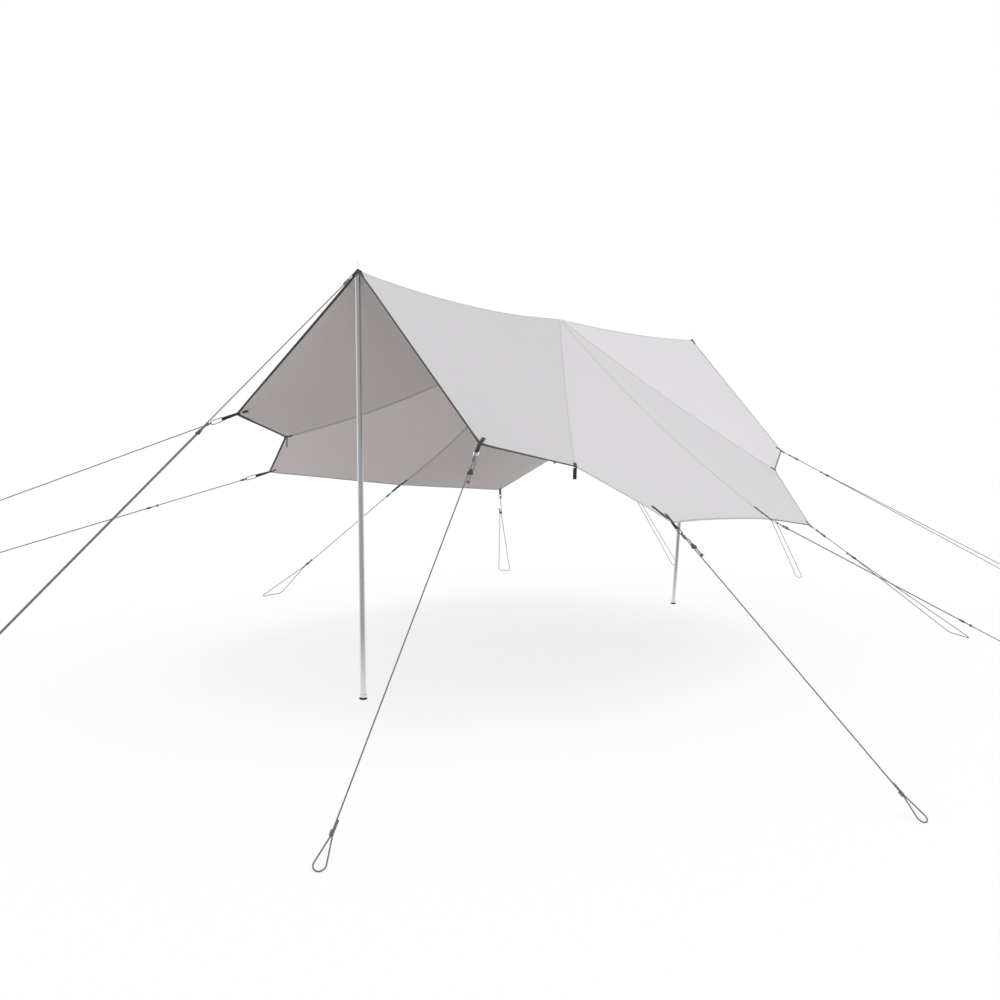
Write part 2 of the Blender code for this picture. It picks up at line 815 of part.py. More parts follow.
def build_canopy(panels, collection, looks):
    for outer, panel in panels.items():
        add_cloth_panel(f"{outer}_panel", panel, collection, looks["cloth"])
    for side in SIDES:
        front = (panels[f"{side}_1"], panels[f"{side}_3"])
        rear = (panels[f"{side}_4"], panels[f"{side}_6"])
        front_gaps = (PEAK_TAPE_GAP, MIDDLE_TAPE_GAP)
        add_hem_tape(f"{side}_front_hem", *front, front_gaps, collection, looks["tape"])
        add_hem_tape(f"{side}_rear_hem", *rear, front_gaps[::-1], collection, looks["tape"])


def build_rigging(panels, collection, cutters, looks):
    rings = {length: ring_mesh(length) for length in {ring_length(name) for name in GUYS}}
    slider = slider_mesh(cutters)
    slider.name = "slider"
    for name in GUYS:
        if name in PEAKS:
            stations = peak_strap_stations(name)
        else:
            stations = corner_strap_stations(name, panels)
        ring = rings[ring_length(name)]
        add_corner_strap(name, stations, ring, collection, cutters, looks["webbing"])
        add_guy(name, collection, looks["cord"])
        made = add_object(f"{name}_slider", slider, collection, looks["plastic"])
        made.matrix_world = slider_matrix(name)
    tab = tab_mesh(cutters)
    tab.name = "tab"
    for side in SIDES:
        for number in (2, 5):
            made = add_object(f"{side}_{number}_tab", tab, collection, looks["webbing"])
            made.matrix_world = tab_matrix(f"{side}_{number}", panels)


def main():
    clear_scene()
    parts = make_collection(PART_NAME)
    cutters = make_collection("cutters")
    looks = {
        "cloth": make_material("cloth", (0.56, 0.55, 0.56), 0.85),
        "tape": make_material("hem_tape", (0.06, 0.06, 0.065), 0.8),
        "webbing": make_material("webbing", (0.018, 0.018, 0.02), 0.8),
        "tube": make_material("aluminium_tube", (0.62, 0.62, 0.66), 0.28, 1.0),
        "pin": make_material("pin", (0.30, 0.30, 0.32), 0.35, 1.0),
        "rubber": make_material("foot_rubber", (0.02, 0.02, 0.02), 0.75),
        "cord": make_material("cord", (0.55, 0.55, 0.56), 0.8),
        "plastic": make_material("slider_plastic", (0.03, 0.03, 0.032), 0.45),
    }
    panels = make_panels()
    build_canopy(panels, parts, looks)
    ground = add_ground_cutter(cutters)
    for end in POLE_FEET:
        add_pole(end, ground, parts, looks)
    build_rigging(panels, parts, cutters, looks)


main()
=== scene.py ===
"""Looks of a camping tarp pitched on two poles: cloth, hems, seams, straps, guys and poles."""

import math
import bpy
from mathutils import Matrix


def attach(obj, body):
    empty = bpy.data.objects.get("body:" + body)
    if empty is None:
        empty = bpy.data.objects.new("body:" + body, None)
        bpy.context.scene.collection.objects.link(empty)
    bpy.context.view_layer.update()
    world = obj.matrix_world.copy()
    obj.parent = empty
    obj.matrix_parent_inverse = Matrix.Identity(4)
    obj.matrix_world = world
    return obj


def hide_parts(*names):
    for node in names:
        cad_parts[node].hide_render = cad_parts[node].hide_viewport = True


bl_info = {
    "name": "Camping Tarp",
    "version": (1, 0, 0),
    "blender": (4, 5, 0),
    "location": "3D View > Sidebar > Tarp",
    "description": "Dresses the frame of a pitched camping tarp and sets it on a pale floor",
    "category": "Object",
}

import bmesh
import bpy
from bpy.props import FloatProperty, FloatVectorProperty, IntProperty, PointerProperty
from mathutils import Matrix, Vector, noise

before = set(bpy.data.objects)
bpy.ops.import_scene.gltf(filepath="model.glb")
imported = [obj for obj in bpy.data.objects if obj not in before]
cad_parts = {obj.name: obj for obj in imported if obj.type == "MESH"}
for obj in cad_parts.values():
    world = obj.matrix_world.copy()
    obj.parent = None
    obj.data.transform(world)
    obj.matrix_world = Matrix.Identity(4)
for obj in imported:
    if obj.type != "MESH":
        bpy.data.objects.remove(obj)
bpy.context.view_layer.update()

# Places shared with the frame, in metres: along the ridge, out from it, and height
POINTS = {
    "front_peak": (-2.095, 0.012, 2.400),
    "rear_peak": (2.100, -0.032, 2.400),
    "crown": (-0.015, 0.024, 2.361),
    "near_1": (-2.161, -0.909, 1.463),
    "near_2": (-1.579, -1.110, 1.352),
    "near_3": (-1.291, -1.551, 1.063),
    "near_m": (0.003, -1.609, 1.010),
    "near_4": (1.278, -1.438, 0.881),
    "near_5": (1.576, -1.040, 1.279),
    "near_6": (2.161, -0.872, 1.427),
    "far_1": (-2.198, 0.922, 1.602),
    "far_2": (-1.634, 1.125, 1.468),
    "far_3": (-1.381, 1.584, 1.210),
    "far_m": (0.012, 1.582, 1.076),
    "far_4": (1.315, 1.501, 0.999),
    "far_5": (1.597, 1.080, 1.325),
    "far_6": (2.170, 0.900, 1.500),
}
POINTS = {name: Vector(place) for name, place in POINTS.items()}
# How far each seam from the crown hangs below a straight line, and how far hems are drawn in
SEAM_SAG = {
    "front_peak": 0.052,
    "rear_peak": 0.026,
    "near_2": 0.070,
    "near_m": 0.075,
    "near_5": 0.030,
    "far_2": 0.095,
    "far_m": 0.095,
    "far_5": 0.060,
}
HEM_BOW = 0.001
BOWED_HEMS = {("near_2", "near_3"): 0.008, ("near_m", "near_3"): 0.020}

# Guys: ground end x and y, slider's distance from the corner, width of the loop at the ground
GUYS = {
    "front_peak": (-4.54, 0.44, 1.305, 0.016),
    "rear_peak": (4.60, -0.26, 1.310, 0.070),
    "near_1": (-3.72, -1.44, 0.200, 0.050),
    "near_3": (-1.90, -3.00, 0.190, 0.050),
    "near_m": (1.19, -3.24, 1.400, 0.060),
    "near_4": (2.32, -2.33, 0.463, 0.240),
    "near_6": (4.40, -3.00, 0.486, 0.280),
    "far_1": (-4.85, 3.97, 2.900, 0.090),
    "far_3": (-4.31, 3.97, 0.851, 0.020),
    "far_m": (-0.12, 3.02, 1.250, 0.240),
    "far_4": (2.70, 2.42, 0.481, 0.120),
    "far_6": (4.50, 1.20, 0.490, 0.070),
}
PEAKS = ("front_peak", "rear_peak")
# Guys that are doubled between ring and tensioner and run single to a short loop
SINGLE_LINES = ("near_1", "near_3", "near_m")
SHORT_LOOP = 0.130
SIDES = ("near", "far")
CORD_RADIUS = 0.0030
CORD_FLOOR_GAP = 0.0003
LOOP_CORNER_RADIUS = 0.035
# Below its tensioner a looped line's two strands stay parallel for this far
LEGS_PARALLEL = 0.070
TAIL_LENGTH = 0.062
HOLE_SPACING = 0.016
STRAP_OUT = 0.040
RING_LENGTH = 0.048
RING_WIDTH = 0.026
RING_WIRE = 0.0022
RING_CORNER = 0.007
# By how much some straps reach further out than STRAP_OUT, and some rings are longer
LONGER_STRAPS = {
    "near_1": 0.012,
    "near_4": 0.035,
    "near_6": 0.050,
    "far_1": 0.045,
    "far_3": 0.050,
    "far_m": 0.050,
    "far_4": 0.050,
    "far_6": 0.050,
}
LONGER_RINGS = {"near_1": -0.018, "far_1": 0.027, "far_3": 0.027}
# Degrees by which some rings are twisted about their line
RING_TWISTS = {"far_1": 60.0, "far_3": 60.0}
BRIGHT_RINGS = ("near_1",)
# How far each strap reaches in over the cloth, by the end of its corner's name
STRAP_IN = {"peak": 0.028, "1": 0.045, "3": 0.110, "m": 0.150, "4": 0.060, "6": 0.045}

# The camera, and the direction that the lamp stands in
CAMERA_PLACE = (-5.958, -3.819, 1.514)
CAMERA_YAW = 53.83
CAMERA_PITCH = -3.88
CAMERA_ROLL = 1.27
CAMERA_LENS = 34.63
SENSOR_WIDTH = 36.0
SUN_FROM = (0.25, -0.30, 0.92)
SUN_SPREAD = 50
FLOOR_HALF_WIDTH = 60.0
FLOOR_DROP = 0.001

UP = Vector((0.0, 0.0, 1.0))
TUBE_SIDES = 12

# Folds that fan out from a pulled corner: their depth, number, and how they grow and fade
FOLD_DEPTH = 0.0035
FOLDS_ROUND = 9.0
FOLD_START = 0.12
FOLD_FADE = 0.32
FOLD_REACH = 1.2
UNEVEN_DEPTH = 0.0016
UNEVEN_SCALE = 2.3
# Painted light and shade: how much lighter or darker each panel's colour is made for how the light
# falls on it, on top and under it
PAINTED_PANEL_SHADING = {
    "near_1": (0.85, 1.00),
    "near_3": (0.93, 1.05),
    "near_4": (0.905, 1.05),
    "near_6": (1.01, 1.00),
    "far_1": (0.97, 1.07),
    "far_3": (1.00, 1.30),
    "far_4": (0.97, 1.19),
    "far_6": (1.00, 1.00),
}
SEAM_WIDTH = 0.014
SEALING_WIDTH = 0.022
SEAM_STITCH = 0.0050
SEALING_STITCH = 0.0095
SEAM_THREAD = (0.30, 0.29, 0.30)
SEAM_LIFT = 0.0012
SEAM_THICKNESS = 0.0007
# A seam's tape starts this far from the crown and ends this far from the hem
SEAM_START = 0.028
SEAM_END = 0.024
SEAM_STEPS = 60
HEM_LIFT = 0.0015
HEM_THICKNESS = 0.0008
HEM_STEPS = 28
HEM_STITCH = 0.0078
DARK_THREAD = (0.16, 0.155, 0.16)
PALE_THREAD = (0.13, 0.125, 0.13)
GREY_TAPE = (0.20, 0.19, 0.205)
PEAK_TAPE_GAP = 0.016
MIDDLE_TAPE_GAP = 0.0006
# Each hem's four stretches from its front end: their look, and the tape's width at both ends
PLAIN_HEM = ("pale", 0.012, 0.012)
HEM_STRETCHES = {
    "near_front_hem": (
        ("dark", 0.013, 0.017),
        ("dark", 0.017, 0.010),
        ("pale", 0.010, 0.012),
        PLAIN_HEM,
    ),
    "near_rear_hem": (("grey", 0.009, 0.011), PLAIN_HEM, ("grey", 0.010, 0.010), PLAIN_HEM),
    "far_front_hem": (
        ("dark", 0.015, 0.015),
        ("dark", 0.0125, 0.0125),
        # The stretch from far 2 to far 3 is dark tape as painted shade: the shade on that hem is
        # put in its colour
        ("dark", 0.0120, 0.0120),
        PLAIN_HEM,
    ),
    "far_rear_hem": (PLAIN_HEM, PLAIN_HEM, ("grey", 0.010, 0.010), PLAIN_HEM),
}
HEM_LOOKS = ("dark", "pale", "grey")
STRAP_STEPS = 12
STRAP_ACROSS = (-1.0, -0.5, 0.0, 0.5, 1.0)
# The step of u and v over which a strap's heading on the cloth is taken
BACK_STEP = 0.01
# The share of a strap's length on the cloth by which it is shorter underneath
STRAP_UNDER = 0.3
STRAP_LIFT = 0.0030
PEAK_STRAP_LIFT = 0.0062
STRAP_THREAD = (0.10, 0.10, 0.105)
WEBBING_ROUNDING = 0.0003
# Stretches of webbing that aren't sewn down, as shares of the way along it; the last is empty
STRAP_BARE = (0.45, 0.80)
TAB_BARE = (0.20, 0.80)
PATCH_BARE = (0.41, 0.59)
ALL_BARE = (0.0, 1.0)
ALL_SEWN = (1.0, 0.0)
BAR_LIFT = 0.0034
# Where a peak's strap ends under the ridge, in its guy's frame, and the cloth's slope beside it
PEAK_STRAP_END = (0.024, 0.0, -0.0005)
RIDGE_SLOPE = 44
# The squares sewn on further in than some straps, and the caps across the ridge's ends
SQUARE_NEAR = 0.048
SQUARE_FAR = 0.088
SQUARE_STEPS = 4
CAP_REACH = 0.048
CAP_WIDTH = 0.020
CAP_OVERHANG = 0.003
CAP_STEPS = 10
# The second strap at the lowest front corners: where it starts, its length and its slant
PATCH_START = 0.150
PATCH_LENGTH = 0.110
PATCH_SLANT = 0.45
EYELET_RADIUS = 0.0072
EYELET_ROLL = 0.0024
EYELET_LIFT = 0.002
EYELET_STEPS = 32
# Knots: where the hitch starts and ends on a guy from its corner, and its turns
KNOT_START = 0.102
KNOT_END = 0.124
HITCH_TURNS = 4
HITCH_RADIUS = 0.0054
HITCH_STEPS = 64
LOOP_KNOT_LENGTH = 0.022
# The line starts this far inside its hitch, and a short loop's tail lies this far beside it
LINE_IN_KNOT = 0.004
TAIL_GAP = 0.0004
# The eye bends round the ring's wire, and its strands lie this far from its middle
EYE_GAP = 0.0003
EYE_RADIUS = RING_WIRE + CORD_RADIUS + EYE_GAP
EYE_HALF = 0.0026
EYE_IN_KNOT = 0.010
# Where the strand that comes back from the ring bends, and from where on it is in line with
# the tensioner's second hole
RETURN_BEND = (0.106, 0.004, -0.0040)
RETURN_JOIN = 0.136
# The knot on a looped line's tail sits this far inside its end, clear of the tensioner when
# that is nearest to the ring; a returning strand's is this far past its end.
STOPPER_IN = 0.001
STOPPER_PAST = 0.006
STOPPER_STEPS = 60
STOPPER_RADIUS = 0.0048
STOPPER_SWING = 0.0022
STOPPER_HALF = 0.0046
TAB_WIDTH = 0.020
TAB_LENGTH = 0.064
TAB_THICKNESS = 0.0014
TAB_FOLD = 0.0012
# The tab's upper edge is this far below its hinge, clear of the patch at both limits
TAB_TOP = -0.003
TAB_PATCH = 0.055
TAB_DROP = 0.008
TAB_IN = 0.015
RING_STEEL = (0.72, 0.72, 0.74)
DULL_STEEL = (0.07, 0.07, 0.075)
PIN_STEEL = (0.84, 0.84, 0.85)
FOOT_RUBBER = (0.018, 0.018, 0.020)
SLIDER_PLASTIC = (0.022, 0.022, 0.026)
POLE_FEET = {"front": (-2.064, -0.042), "rear": (2.061, 0.047)}
POLE_STEPS = 64
NO_CHANGE = math.inf
# Painted reflection: the level direction that one of the two darker stripes painted down the tubes
# faces, and how dark they are; they stand for the dark that a round metal tube reflects down its
# middle
PAINTED_REFLECTION_SIDE = Vector((-0.713, -0.701, 0.0))
PAINTED_REFLECTION_SHADE = 0.43
# Heights at which the foot's dark sole ends, and the pin's bright steel starts
SOLE_HEIGHT = 0.012
PLUG_HEIGHT = 2.392
# Radii and heights of the poles' turned pieces
FOOT_PROFILE = [
    (0.0, -0.0015), (0.0195, -0.0015), (0.0214, -0.0004), (0.0223, 0.0012),
    (0.0225, 0.003), (0.0225, 0.0105), (0.0214, 0.0125), (0.0214, 0.0140),
    (0.0221, 0.0155), (0.0213, 0.0210), (0.0211, 0.0270), (0.0203, 0.0290),
    (0.0188, 0.0300), (0.0174, 0.0300), (0.0168, 0.0294), (0.0168, 0.012),
    (0.0, 0.012),
]
LOWER_PROFILE = [
    (0.0, 0.0124), (0.0165, 0.0124), (0.0165, 0.688), (0.0160, 0.6905),
    (0.0160, 0.6935), (0.0165, 0.696), (0.0165, 0.6988), (0.0159, 0.7002),
    (0.0150, 0.7010), (0.0150, 0.778), (0.0146, 0.780), (0.0, 0.780),
]
UPPER_PROFILE = [
    (0.0153, 0.7016), (0.0161, 0.7016), (0.0165, 0.7026), (0.0165, 2.329),
    (0.0161, 2.330), (0.0153, 2.330), (0.0153, 0.7016),
]
PIN_PROFILE = [
    (0.0, 2.456), (0.0016, 2.4557), (0.0030, 2.4546), (0.0038, 2.4530),
    (0.0040, 2.4515), (0.0040, 2.3935), (0.0046, 2.3895), (0.0065, 2.385),
    (0.0148, 2.3668), (0.0162, 2.3646), (0.0165, 2.3620), (0.0165, 2.3308),
    (0.0161, 2.3304), (0.0150, 2.3304), (0.0150, 2.2900), (0.0, 2.2900),
]


# Settings

COLOUR = {"subtype": "COLOR", "size": 3, "min": 0.0, "max": 1.0}


class TarpClothSettings(bpy.types.PropertyGroup):
    top_colour: FloatVectorProperty(
        name="Top Colour",
        description="Colour of the cloth's weather side",
        default=(0.70, 0.682, 0.70),
        **COLOUR,
    )
    # The underside's colour is darker than the top's partly for its coating and partly as painted
    # shade, for the shade that falls under the sheet
    underside_colour: FloatVectorProperty(
        name="Underside Colour",
        description="Colour of the coated underside",
        default=(0.47, 0.440, 0.432),
        **COLOUR,
    )
    tape_colour: FloatVectorProperty(
        name="Tape Colour",
        description="Colour of the dark tape on the front hems",
        default=(0.045, 0.043, 0.045),
        **COLOUR,
    )
    hem_colour: FloatVectorProperty(
        name="Hem Colour",
        description="Colour of the turned hems of the cloth itself",
        default=(0.50, 0.48, 0.50),
        **COLOUR,
    )
    thickness: FloatProperty(
        name="Cloth Thickness",
        description="Thickness of the cloth",
        unit="LENGTH",
        min=0.0004,
        max=0.002,
        default=0.0010,
    )
    steps: IntProperty(
        name="Panel Steps",
        description="Faces along each edge of a panel",
        min=8,
        max=80,
        default=56,
    )


class TarpRiggingSettings(bpy.types.PropertyGroup):
    cord_colour: FloatVectorProperty(
        name="Cord Colour",
        description="Colour of the guy lines",
        default=(0.19, 0.187, 0.195),
        **COLOUR,
    )
    webbing_colour: FloatVectorProperty(
        name="Webbing Colour",
        description="Colour of the straps and hanging tabs",
        default=(0.016, 0.016, 0.018),
        **COLOUR,
    )
    strap_width: FloatProperty(
        name="Strap Width",
        description="Width of the webbing at the corners",
        unit="LENGTH",
        min=0.01,
        max=0.03,
        default=0.020,
    )
    peak_strap_width: FloatProperty(
        name="Peak Strap Width",
        description="Width of the webbing folded over the ridge's ends",
        unit="LENGTH",
        min=0.02,
        max=0.04,
        default=0.028,
    )
    strap_thickness: FloatProperty(
        name="Strap Thickness",
        description="Thickness of the webbing",
        unit="LENGTH",
        min=0.001,
        max=0.003,
        default=0.0016,
    )


class TarpPoleSettings(bpy.types.PropertyGroup):
    tube_colour: FloatVectorProperty(
        name="Tube Colour",
        description="Colour of the drawn aluminium",
        default=(0.80, 0.80, 0.83),
        **COLOUR,
    )
    tube_roughness: FloatProperty(
        name="Tube Roughness",
        description="How dull the tubes' polish is",
        subtype="FACTOR",
        min=0.05,
        max=1.0,
        default=0.40,
    )


class TarpStageSettings(bpy.types.PropertyGroup):
    floor_colour: FloatVectorProperty(
        name="Floor Colour",
        description="Colour of the pale floor",
        default=(0.99, 0.99, 0.99),
        **COLOUR,
    )
    sky_strength: FloatProperty(
        name="Sky Strength",
        description="Strength of the even light from all round",
        min=0.0,
        max=3.0,
        default=0.72,
    )
    shadow_fade: FloatProperty(
        name="Shadow Fade",
        description="How far the floor's shadow is lightened in the picture",
        subtype="FACTOR",
        min=0.0,
        max=1.0,
        default=0.75,
    )
    sun_strength: FloatProperty(
        name="Sun Strength",
        description="Strength of the one soft lamp, from high on the right",
        min=0.0,
        max=10.0,
        default=1.0,
    )


# Shader maths


class Value:
    """A number in a node tree; Python's operators on it add Math nodes."""

    def __init__(self, nodes, socket):
        self.nodes = nodes
        self.socket = socket

    def __add__(self, other):
        return self.nodes.maths("ADD", self, other)

    def __sub__(self, other):
        return self.nodes.maths("SUBTRACT", self, other)

    def __rsub__(self, other):
        return self.nodes.maths("SUBTRACT", other, self)

    def __mul__(self, other):
        return self.nodes.maths("MULTIPLY", self, other)

    def __truediv__(self, other):
        return self.nodes.maths("DIVIDE", self, other)

    __radd__ = __add__
    __rmul__ = __mul__


class Nodes:
    """A node tree being filled."""

    def __init__(self, tree):
        self.tree = tree

    def add(self, kind, settings=None, inputs=None):
        """A node of a kind, with its settings made before its sockets are fed."""
        node = self.tree.nodes.new(kind)
        for key, value in (settings or {}).items():
            setattr(node, key, value)
        for key, value in (inputs or {}).items():
            self.feed(node.inputs[key], value)
        return node

    def feed(self, socket, value):
        """Links a value or a socket to a socket, or sets a plain number or colour in it."""
        if isinstance(value, Value):
            value = value.socket
        if isinstance(value, bpy.types.NodeSocket):
            self.tree.links.new(value, socket)
        elif hasattr(value, "__len__") and socket.type == "RGBA":
            socket.default_value = (*value[:3], 1.0)
        else:
            socket.default_value = value

    def maths(self, operation, *values):
        node = self.add("ShaderNodeMath", {"operation": operation}, dict(enumerate(values)))
        return Value(self, node.outputs[0])

    def seen(self):
        """1 for what the camera, metal and clear things see, and 0 for light on other surfaces."""
        rays = self.add("ShaderNodeLightPath").outputs
        either = self.maths("MAXIMUM", rays["Is Camera Ray"], rays["Is Glossy Ray"])
        return self.maths("MAXIMUM", either, rays["Is Transmission Ray"])


class Look(Nodes):
    """A material being made: a Principled surface and the nodes that feed it."""

    def __init__(self, name):
        self.material = bpy.data.materials.new(name)
        self.material.use_nodes = True
        super().__init__(self.material.node_tree)
        self.surface = self.tree.nodes["Principled BSDF"]

    def sine(self, value):
        return self.maths("SINE", value)

    def size_of(self, value):
        """A number without its sign."""
        return self.maths("ABSOLUTE", value)

    def step_up(self, value, low, high):
        """0 below `low`, 1 above `high`, and smooth between."""
        inputs = {"Value": value, "From Min": low, "From Max": high}
        node = self.add("ShaderNodeMapRange", {"interpolation_type": "SMOOTHSTEP"}, inputs)
        return Value(self, node.outputs["Result"])

    def noise(self, vector, scale, detail, roughness=0.5):
        inputs = {"Vector": vector, "Scale": scale, "Detail": detail, "Roughness": roughness}
        return Value(self, self.add("ShaderNodeTexNoise", None, inputs).outputs["Fac"])

    def mix(self, first, second, factor):
        node = self.add("ShaderNodeMix", {"data_type": "RGBA"}, {"Factor": factor})
        colours = [s for s in node.inputs if s.type == "RGBA"]
        self.feed(colours[0], first)
        self.feed(colours[1], second)
        return next(s for s in node.outputs if s.type == "RGBA")

    def object_place(self):
        return self.add("ShaderNodeTexCoord").outputs["Object"]

    def attribute(self, name):
        """The three numbers of a point attribute."""
        node = self.add("ShaderNodeAttribute", {"attribute_name": name})
        return self.split(node.outputs["Vector"])

    def split(self, vector):
        """The three numbers of a vector's socket."""
        parts = self.add("ShaderNodeSeparateXYZ", None, {"Vector": vector})
        return [Value(self, out) for out in parts.outputs]

    def bump(self, height, distance, strength):
        inputs = {"Height": height, "Distance": distance, "Strength": strength}
        return self.add("ShaderNodeBump", None, inputs).outputs["Normal"]

    def whiten(self, share):
        """Makes a share of the surface plain white where it is seen, which fades its shadows."""
        white = self.add("ShaderNodeEmission").outputs[0]
        inputs = {"Fac": self.seen() * share, 1: self.surface.outputs[0], 2: white}
        mixed = self.add("ShaderNodeMixShader", None, inputs)
        self.feed(self.tree.nodes["Material Output"].inputs[0], mixed.outputs[0])

    def finish(self, **inputs):
        """Feeds the surface; a name's underscores stand for spaces."""
        for key, value in inputs.items():
            self.feed(self.surface.inputs[key.replace("_", " ").title()], value)
        return self.material


def shade(colour, factor):
    """The colour made lighter or darker, and no lighter than white."""
    return tuple(min(1.0, c * factor) for c in colour)


# Materials

# Waves of the woven patterns, in radians to a metre
WARP_WAVES = 3900.0
WEFT_WAVES = 2760.0
TAPE_RIB_WAVES = 2400.0
TAPE_STITCH_WAVES = 1600.0
CHEVRON_WAVES = 2900.0
WEBBING_CORD_WAVES = 4200.0
WEBBING_STITCH_WAVES = 2100.0
BRAID_WAVES = 1500.0
BRAID_STRANDS = 4.0
# The range that a panel's painted light and shade is spread over
DARKEST_PAINTED_SHADING = 0.7
LIGHTEST_PAINTED_SHADING = 1.3


def cloth_look(name, colour, coated):
    """Plain-woven polyester: fine mottling, the weave's bump, and creases from its bag.

    The point attribute holds each panel's painted light and shade: how much lighter or darker its
    colour is made for how the light falls on it, first on top and then under it.
    """
    look = Look(name)
    above, below, _ = look.attribute("painted_shading")
    place = look.object_place()
    x, y, z = look.split(place)
    weave = look.sine(x * WARP_WAVES) * look.sine((y - z) * WEFT_WAVES)
    broad = look.noise(place, 0.9, 2.0)
    slub = look.noise(place, 55.0, 5.0, 0.65)
    crumple = look.noise(place, 7.0, 4.0, 0.55)
    # Painted light and shade: each panel's colour made lighter or darker for how the light falls
    # on it
    painted_shading = ((below if coated else above) - DARKEST_PAINTED_SHADING) / (LIGHTEST_PAINTED_SHADING - DARKEST_PAINTED_SHADING)
    shaded = look.mix(shade(colour, DARKEST_PAINTED_SHADING), shade(colour, LIGHTEST_PAINTED_SHADING), painted_shading)
    cloudy = look.step_up(broad, 0.3, 0.7) * 0.05
    mottled = look.mix(shaded, shade(colour, 0.7), cloudy)
    threaded = look.mix(mottled, shade(colour, 0.90), (slub - 0.46) * 0.9)
    height = weave * 0.25 + slub * 0.35 + crumple * 1.6
    return look.finish(
        base_color=threaded,
        roughness=look.step_up(slub, 0.2, 0.8) * 0.12 + (0.60 if coated else 0.74),
        normal=look.bump(height, 0.0006, 0.55),
        sheen_weight=0.0 if coated else 0.15,
        sheen_roughness=0.6,
    )


def tape_look(name, colour, thread, row_at):
    """Woven tape with ribs across it and a row of stitches that far from its middle."""
    look = Look(name)
    along, across, _ = look.attribute("lay")
    ribs = look.sine(along * TAPE_RIB_WAVES)
    edge = look.noise(look.object_place(), 320.0, 2.0)
    aside = look.size_of(look.size_of(across) - row_at)
    row = 1.0 - look.step_up(aside, 0.0003, 0.0007)
    gap = look.step_up(look.sine(along * TAPE_STITCH_WAVES), -0.7, -0.5)
    stitch = row * gap
    fibre = look.mix(shade(colour, 0.86), shade(colour, 1.25), look.step_up(edge, 0.35, 0.7))
    return look.finish(
        base_color=look.mix(fibre, thread, stitch),
        roughness=edge * 0.2 + 0.68,
        normal=look.bump(ribs * 0.3 + edge * 0.5 + stitch * 1.6, 0.0005, 0.6),
    )


def webbing_look(name, colour):
    """Flat polyester webbing: chevron ribs, a selvedge, and box stitching on its sewn end."""
    look = Look(name)
    along, across, sewn = look.attribute("lay")
    aside = look.size_of(across)
    chevron = look.sine(along * CHEVRON_WAVES + aside * CHEVRON_WAVES)
    cords = look.sine(across * WEBBING_CORD_WAVES)
    fuzz = look.noise(look.object_place(), 450.0, 2.0)
    row = look.step_up(aside, 0.0060, 0.0066) * (1.0 - look.step_up(aside, 0.0070, 0.0076))
    dashes = look.step_up(look.sine(along * WEBBING_STITCH_WAVES), -0.3, 0.0)
    stitch = row * dashes * look.step_up(sewn, 0.4, 0.6)
    ribbed = look.step_up(chevron * 0.5 + fuzz, 0.2, 1.1)
    body = look.mix(shade(colour, 0.75), shade(colour, 2.1), ribbed)
    return look.finish(
        base_color=look.mix(body, STRAP_THREAD, stitch),
        roughness=fuzz * 0.25 + 0.62,
        normal=look.bump(chevron * 0.35 + cords * 0.2 + fuzz * 0.5 + stitch, 0.0006, 0.7),
    )


def cord_look(name, colour):
    """Braided cord. lay holds the distance along it and the sine and cosine round it."""
    look = Look(name)
    along, up, side = look.attribute("lay")
    round_it = look.maths("ARCTAN2", up, side) * BRAID_STRANDS
    right = look.sine(round_it + along * BRAID_WAVES)
    left = look.sine(round_it - along * BRAID_WAVES)
    strands = look.maths("MAXIMUM", right, left)
    fuzz = look.noise(look.object_place(), 600.0, 2.0)
    fleck = look.step_up(right * left, 0.55, 0.8)
    braid = look.mix(shade(colour, 0.72), shade(colour, 1.18), look.step_up(strands, -0.2, 0.9))
    return look.finish(
        base_color=look.mix(braid, shade(colour, 0.55), fleck * 0.35),
        roughness=fuzz * 0.2 + 0.62,
        normal=look.bump(strands * 0.8 + fuzz * 0.3, 0.0005, 0.8),
    )


def metal_look(name, colour, roughness, streaks, painted_reflection=1.0):
    """Bright metal with fine streaks along it and a few handling marks.

    The last argument is how much darker a tube is painted down the middle of two sides: a painted
    reflection, the dark that a round tube reflects down its middle, fading towards its foot. There
    lay holds how squarely a point faces those sides, and its height.
    """
    look = Look(name)
    place = look.object_place()
    mapping = {"Vector": place, "Scale": (1.0, 1.0, streaks)}
    stretched = look.add("ShaderNodeMapping", None, mapping).outputs[0]
    grain = look.noise(stretched, 700.0, 3.0)
    scuffs = look.noise(place, 28.0, 6.0, 0.7)
    wear = look.step_up(scuffs, 0.58, 0.72)
    worn = look.mix(colour, shade(colour, 0.80), wear)
    bright = look.mix(worn, shade(colour, 1.08), look.step_up(grain, 0.4, 0.7))
    # Painted reflection: a darker stripe down two sides of the tube, fading towards its foot
    if painted_reflection < 1.0:
        facing, height, _ = look.attribute("lay")
        middle = look.step_up(look.size_of(facing), 0.50, 0.98)
        reflection_fade = look.step_up(height, 0.0, 0.45) * 0.8 + 0.2
        bright = look.mix(bright, shade(colour, painted_reflection), middle * reflection_fade)
    return look.finish(
        base_color=bright,
        metallic=1.0,
        roughness=grain * 0.14 + wear * 0.12 + (roughness - 0.07),
        normal=look.bump(grain, 0.0002, 0.15),
    )


def moulded_look(name, colour, roughness):
    """Moulded plastic or rubber with a fine grain and dusty low places."""
    look = Look(name)
    place = look.object_place()
    grain = look.noise(place, 900.0, 2.0)
    dust = look.noise(place, 60.0, 5.0, 0.6)
    body = look.mix(colour, shade(colour, 2.2), look.step_up(dust, 0.45, 0.75))
    return look.finish(
        base_color=body,
        roughness=dust * 0.2 + roughness,
        normal=look.bump(grain, 0.0002, 0.35),
    )


def material(name, make, *values):
    """The material of that name, made on first use."""
    return bpy.data.materials.get(name) or make(name, *values)


# Mesh helpers


